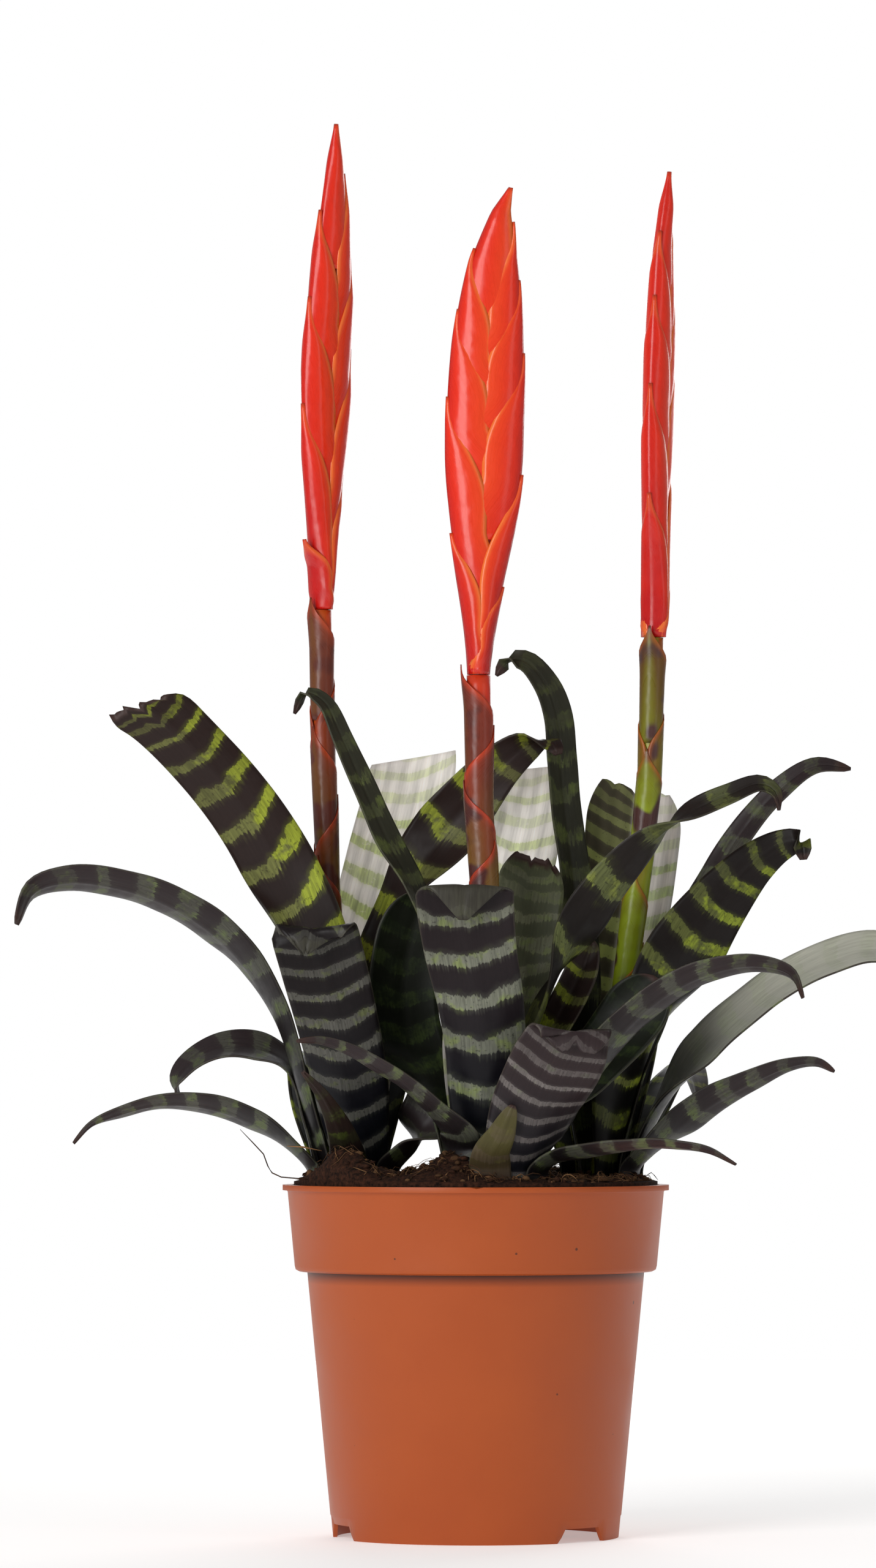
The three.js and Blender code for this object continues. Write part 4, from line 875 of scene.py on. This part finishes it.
# %% Grow one leaf
BAND_DIP = 0.28      # how far a band hangs down at the midrib, in half widths
CREASE = 0.35        # depth of the midrib's crease
EDGE_WAVE = 0.35     # how far its margins wave


def grow_leaf(plant, leaf):
    frames, length = leaf_frames(plant, leaf)
    counts = band_counts(leaf, length)
    notch, wave, torn = leaf.get("notch", 0), leaf.get("wave", EDGE_WAVE), leaf.get("torn", 0)
    lean = leaf.get("lean", 0)
    bm = bmesh.new()
    in_mm = bm.verts.layers.float_vector.new("leaf_mm")
    in_part = bm.verts.layers.float_vector.new("leaf_part")
    shift = 100 * leaf["order"] + 17 * len(leaf["name"])

    def place(vertex, u, s):
        centre, across, upper, half, turn, tangent, slant, channel = frames[round(s * STATIONS)]
        bend, a = half / turn, turn * u
        spot = centre + across * (bend * math.sin(a)) + upper * (channel * bend * (1 - math.cos(a)))
        spot += tangent * (slant * u)
        cut = notch * math.exp(-(u / 0.2) ** 2) + torn * (0.5 + noise.noise(Vector((4 * u, shift, 0))))
        spot -= tangent * (cut * smooth(0.88, 1, s))
        open_part = smooth(0.3, 0.6, s)
        spot -= upper * (CREASE * math.exp(-(u / 0.12) ** 2) * open_part)
        ripple = noise.noise(Vector((s * length / 16, shift, 2 * (u > 0))))
        spot += upper * (wave * ripple * 2 * u * u * open_part)
        vertex.co = spot * MM
        dip = BAND_DIP * half * (1 - abs(u) ** 1.4) + lean * half * u
        along = s * STATIONS + dip / length * STATIONS
        k = max(0, min(STATIONS - 1, int(along)))
        vertex[in_mm] = (half * u, s * length + shift, mix(counts[k], counts[k + 1], along - k))
        vertex[in_part] = (u, s, (1 - s) * length)

    sheet(bm, ACROSS_SPANS, STATIONS, place)
    sides = [LEAF_KINDS[leaf["kind"]], LEAF_KINDS[leaf.get("inner", leaf["kind"])]]
    node = f'{plant}_leaf_{leaf["name"]}'
    piece = finished(node + "_blade", bm, sides, node)
    thicken(piece, "blade", BLADE, 0).material_offset = 1
    return piece, length


leaf_lengths = {}
for plant, rows in (("left", LEFT_LEAVES), ("middle", MIDDLE_LEAVES), ("right", RIGHT_LEAVES)):
    for leaf in rows:
        piece, leaf_lengths[piece.name] = grow_leaf(plant, leaf)
print("leaves:", len(leaf_lengths), "longest in mm:", round(max(leaf_lengths.values())))

# %% [markdown]
# ## Flower spikes
# A sword is flat, because its bracts stand in two rows. Each bract is folded along a keel that lies on the
# sword's edge, wraps the bracts above it, and opens towards its tip, so that the margins draw a row of
# chevrons on each face. Below the sword, looser sheaths wrap a round stalk in the same way.

# %% The rows of the spikes
SPIKES = [
    dict(plant="left", sword_from=312, turn=45, half=10.4, thick=3.6, fall=1.9, stalk=4.1,
         path=((-40, 4, 104.5), (-43, 5, 130), (-48, 6, 180), (-50, 6, 220), (-51, 6, 250),
               (-52, 6, 283), (-52, 6, 314), (-51.7, 6, 347), (-51, 6, 373), (-50.7, 6, 393),
               (-49.6, 6, 412), (-48.4, 6, 439), (-47.2, 6, 477)),
         bracts=(0.142, 0.28, 0.42, 0.54, 0.64, 0.73, 0.82, 0.9, 1), side=-1, flares={0: 3}),
    dict(plant="middle", sword_from=288, turn=4, half=12.6, thick=4, fall=2.6, stalk=5,
         path=((3, -30, 104.5), (4, -30, 130), (4, -30, 175), (2.5, -30, 220), (1, -30, 245),
               (0.8, -30, 288), (1.5, -30, 320), (2.5, -30, 345), (3, -30, 374), (4, -30, 400),
               (5.8, -30, 427), (8.5, -30, 443), (11.7, -30, 451)),
         bracts=(0.18, 0.29, 0.41, 0.57, 0.66, 0.75, 0.81, 0.875, 0.93, 1), side=1),
    dict(plant="right", sword_from=303, turn=72, half=10, thick=3.4, fall=1.9, stalk=4.2,
         path=((40.5, 5, 104.5), (43, 7, 130), (49, 10, 175), (53, 11, 205), (56, 12, 228),
               (59, 12, 255), (60, 12, 290), (61, 12, 318), (61.4, 12, 348), (62, 12, 380),
               (62.8, 12, 406), (63.6, 12, 435), (66, 12, 461.5)),
         bracts=(0.16, 0.306, 0.42, 0.54, 0.65, 0.73, 0.8, 0.87, 0.93, 1), side=1, flares={1: 0.4}),
]
# How far up the bare stalk each sheath's tip stands, and its direction from the sword's width in degrees.
SHEATHS = ((0.48, -60), (0.6, 180), (0.7, -30), (0.81, 180), (0.91, 0), (1.02, 180))


def spike_path(spike):
    """The middle of stalk and sword as a function of height."""
    points = [Vector(p) for p in spike["path"]]

    def at(z):
        i = 0
        while i < len(points) - 2 and points[i + 1].z < z:
            i += 1
        return points[i].lerp(points[i + 1], (z - points[i].z) / (points[i + 1].z - points[i].z))

    return at


def sword_half(spike, t):
    rise = mix(0.31, 1, smooth(-0.02, 0.46, t))
    fall = 1 - 0.96 * max(0, (t - 0.46) / 0.54) ** spike["fall"]
    return spike["half"] * rise * max(0.05, fall)


def sword_thick(spike, t):
    return spike["thick"] * mix(1.2, 1, smooth(0, 0.25, t)) * (1 - 0.8 * smooth(0.6, 1, t))


def bract_margin(s, last):
    """Where a bract's margin lies, from 1 on its own edge of the sword to -1 on the other."""
    return -0.97 if last else mix(-0.97, -0.08, smooth(0.03, 0.33, s)) + 1.05 * smooth(0.38, 1, s) ** 1.3


def spike_mesh():
    """An empty mesh with the two vectors that the bract material reads."""
    bm = bmesh.new()
    return bm, bm.verts.layers.float_vector.new("bract_mm"), bm.verts.layers.float_vector.new("bract_part")


def spike_bar():
    """The same with a closed round bar in it, one unit high, which is bent to the inside of a spike."""
    bm, in_mm, in_part = spike_mesh()
    bmesh.ops.create_cone(bm, cap_ends=True, segments=24, radius1=1, radius2=1, depth=1)
    cuts = [edge for edge in bm.edges if abs(edge.verts[0].co.z - edge.verts[1].co.z) > 0.5]
    bmesh.ops.subdivide_edges(bm, edges=cuts, cuts=40, use_grid_fill=True)
    return bm, in_mm, in_part


# %% Swords
BRACT_THICKNESS, SHEATH_THICKNESS = 0.5, 0.4
BRACT_REACH = (0.55, 0.3)  # the part of the sword that a bract covers, low down and at the top
SHEATH_REACH = 0.2         # the part of the stalk that a sheath covers
PUFF = 0.8           # how far a bract bulges between keel and margin, in mm
CRINKLE = 0.35       # how far the foot of a bract is out of true


def grow_sword(spike):
    path = spike_path(spike)
    start, end = spike["sword_from"] + GAP / 2, spike["path"][-1][2]
    turn = math.radians(spike["turn"])
    width, depth = Vector((math.cos(turn), math.sin(turn), 0)), Vector((-math.sin(turn), math.cos(turn), 0))
    bm, in_mm, in_part = spike_mesh()
    for number, tip in enumerate(spike["bracts"]):
        root = max(0, tip - mix(*BRACT_REACH, tip))
        side, flare = spike["side"] * (-1) ** number, spike.get("flares", {}).get(number, 0)
        last = tip == 1

        def place(vertex, u, s):
            up = mix(root, tip, s)
            edge = sword_half(spike, up) + mix(-0.6, -0.2 if last else 0.5, s)
            inner = bract_margin(s, last) * edge
            f = abs(u)
            w = mix(edge, inner, f ** 1.2)
            d = sword_thick(spike, up) * (1 - min(1, (w / edge) ** 2)) ** 0.7
            d += min(1, 5 * f) * (mix(-0.3, 0.6, s) + PUFF * smooth(0, 0.3, s) * math.sin(math.pi * f))
            d *= mix(1, 0.15, smooth(0.72, 1, s))
            d += CRINKLE * smooth(0.35, 0, s) * noise.noise(Vector((number, 9 * s, 3 * u)))
            z = mix(start, end, up)
            d *= -1 if u < 0 else 1
            w += flare * smooth(0.6, 1, s)
            vertex.co = (path(z) + width * (side * w) + depth * d) * MM
            vertex[in_mm] = ((1 - f) * (edge - inner), z, 10 * number)
            vertex[in_part] = (u, s, up)

        grown = sheet(bm, 20, 26, place)
        if side > 0:
            faces = {face for vertex in grown for face in vertex.link_faces}
            bmesh.ops.reverse_faces(bm, faces=list(faces))
    sword = spike["plant"] + "_sword"
    bracts = finished(sword + "_bracts", bm, [BRACT_WAX], sword)
    thicken(bracts, "bract", BRACT_THICKNESS, -1)

    bm, in_mm, in_part = spike_bar()
    for vertex in bm.verts:
        t = mix(0.002, 0.97, vertex.co.z + 0.5)
        slim = 1 - 0.9 * smooth(0.9, 1, t)
        w = 0.9 * slim * sword_half(spike, t) * vertex.co.x
        d = 0.85 * slim * sword_thick(spike, t) * vertex.co.y
        z = mix(start, end, t)
        vertex.co = (path(z) + width * w + depth * d) * MM
        vertex[in_mm] = (5 + w, z, 0)
        vertex[in_part] = (0.5, 0.5, t)
    return bracts, finished(sword + "_core", bm, [CORE_WAX], sword)


# %% Stalks and their sheaths
def grow_scape(spike):
    path = spike_path(spike)
    start, end = spike["path"][0][2], spike["sword_from"] - GAP / 2
    bm, in_mm, in_part = spike_mesh()

    def ring_point(t, grow, angle):
        r = spike["stalk"] * mix(1, 0.9, t) * 0.88 + grow
        return path(mix(start, end, t)) + Vector((r * math.cos(angle), r * math.sin(angle), 0))

    for number, (tip, direction) in enumerate(SHEATHS):
        facing = math.radians(spike["turn"] + direction)

        def place(vertex, u, s):
            up = mix(tip - SHEATH_REACH, tip, s)
            arc = math.pi * mix(1, 0.02, smooth(0.45, 1, s))
            loose = mix(0.15, 0.9, s) + 0.9 * smooth(0.93, 1.02, up)
            vertex.co = ring_point(up, loose, facing + arc * u) * MM
            vertex[in_mm] = ((1 - abs(u)) * arc * spike["stalk"], mix(start, end, up), 10 * number)
            vertex[in_part] = (u, s, up)

        sheet(bm, 24, 24, place)
    bmesh.ops.reverse_faces(bm, faces=bm.faces[:])
    scape = spike["plant"] + "_scape"
    sheaths = finished(scape + "_sheaths", bm, [SHEATH_WAX[spike["plant"]]], scape)
    thicken(sheaths, "sheath", SHEATH_THICKNESS, -1)

    bm, in_mm, in_part = spike_bar()
    for vertex in bm.verts:
        t, angle = vertex.co.z + 0.5, math.atan2(vertex.co.y, vertex.co.x)
        vertex.co = ring_point(t, 0, angle) * MM
        vertex[in_mm] = (5 + angle * spike["stalk"], mix(start, end, t), 0)
        vertex[in_part] = (0.5, 0.5, t)
    return sheaths, finished(scape + "_stalk", bm, [STALK_WAX[spike["plant"]]], scape)


for spike in SPIKES:
    grown = (*grow_sword(spike), *grow_scape(spike))
    print(spike["plant"], "spike:", [piece.name for piece in grown])

# %% [markdown]
# The plant stands on a pale floor in an even, white studio. Behind the plant the surroundings are full
# white, but they light it at a third of that strength, so that its own colours stay deep. The floor glows a
# little, because it would otherwise show as a grey field below the white. A long lens far away keeps the
# pot's sides almost parallel, as suits a tall and narrow plant.

# %% Floor, light and camera
FLOOR_SIZE = 3
FLOOR_GLOW = 0.35
AMBIENT = 0.33       # strength of the white surroundings as light
LENS_MM, SENSOR_MM = 168.75, 36
CAMERA_PLACE, CAMERA_RISE = (-12.7, -2476, 156), 2.24  # in mm, and in degrees above level
floor_mesh = bmesh.new()
bmesh.ops.create_grid(floor_mesh, x_segments=1, y_segments=1, size=FLOOR_SIZE / 2)
floor = new_object("floor", floor_mesh)
floor_paper, tree, shader = new_material("white_studio_paper")
feed(tree, shader, {"Base Color": paint("#F4F3F2"), "Roughness": 0.9, "Emission Color": paint("#FFFFFF"),
                    "Emission Strength": FLOOR_GLOW})
floor.data.materials.append(floor_paper)

world = bpy.data.worlds.new("studio")
world.use_nodes = True
tree = world.node_tree
seen = add(tree, "LightPath", {}).outputs["Is Camera Ray"]
strength = add(tree, "MapRange", [seen, 0, 1, AMBIENT, 1.0])
feed(tree, tree.nodes["Background"], {"Color": paint("#FFFFFF"), "Strength": strength})
bpy.context.scene.world = world


def soft_box(name, place, aim, wide, tall, power):
    """An area lamp that looks at a point."""
    lamp = bpy.data.lights.new(name, "AREA")
    lamp.shape = "RECTANGLE"
    lamp.size, lamp.size_y = wide, tall
    lamp.energy = power
    holder = new_object(name, lamp)
    holder.location = place
    holder.rotation_euler = (Vector(aim) - Vector(place)).to_track_quat("-Z", "Y").to_euler()


soft_box("key_light", (-0.95, -1.45, 0.7), (0, 0, 0.3), 0.8, 1.3, 20)
soft_box("fill_light", (1.2, -1.0, 0.6), (0, 0, 0.25), 0.4, 1.0, 1.5)
soft_box("back_light", (0.3, 1.6, 1.0), (0, 0, 0.3), 1.4, 1.4, 14)

bpy.context.scene.view_settings.view_transform = "Standard"

lens = bpy.data.cameras.new("camera")
lens.lens = LENS_MM
lens.sensor_width = SENSOR_MM
lens.clip_end = 20
camera = new_object("camera", lens)
camera.location = Vector(CAMERA_PLACE) * MM
camera.rotation_euler = (math.radians(90 + CAMERA_RISE), 0, 0)
bpy.context.scene.camera = camera
print("camera", [round(c, 3) for c in camera.location])
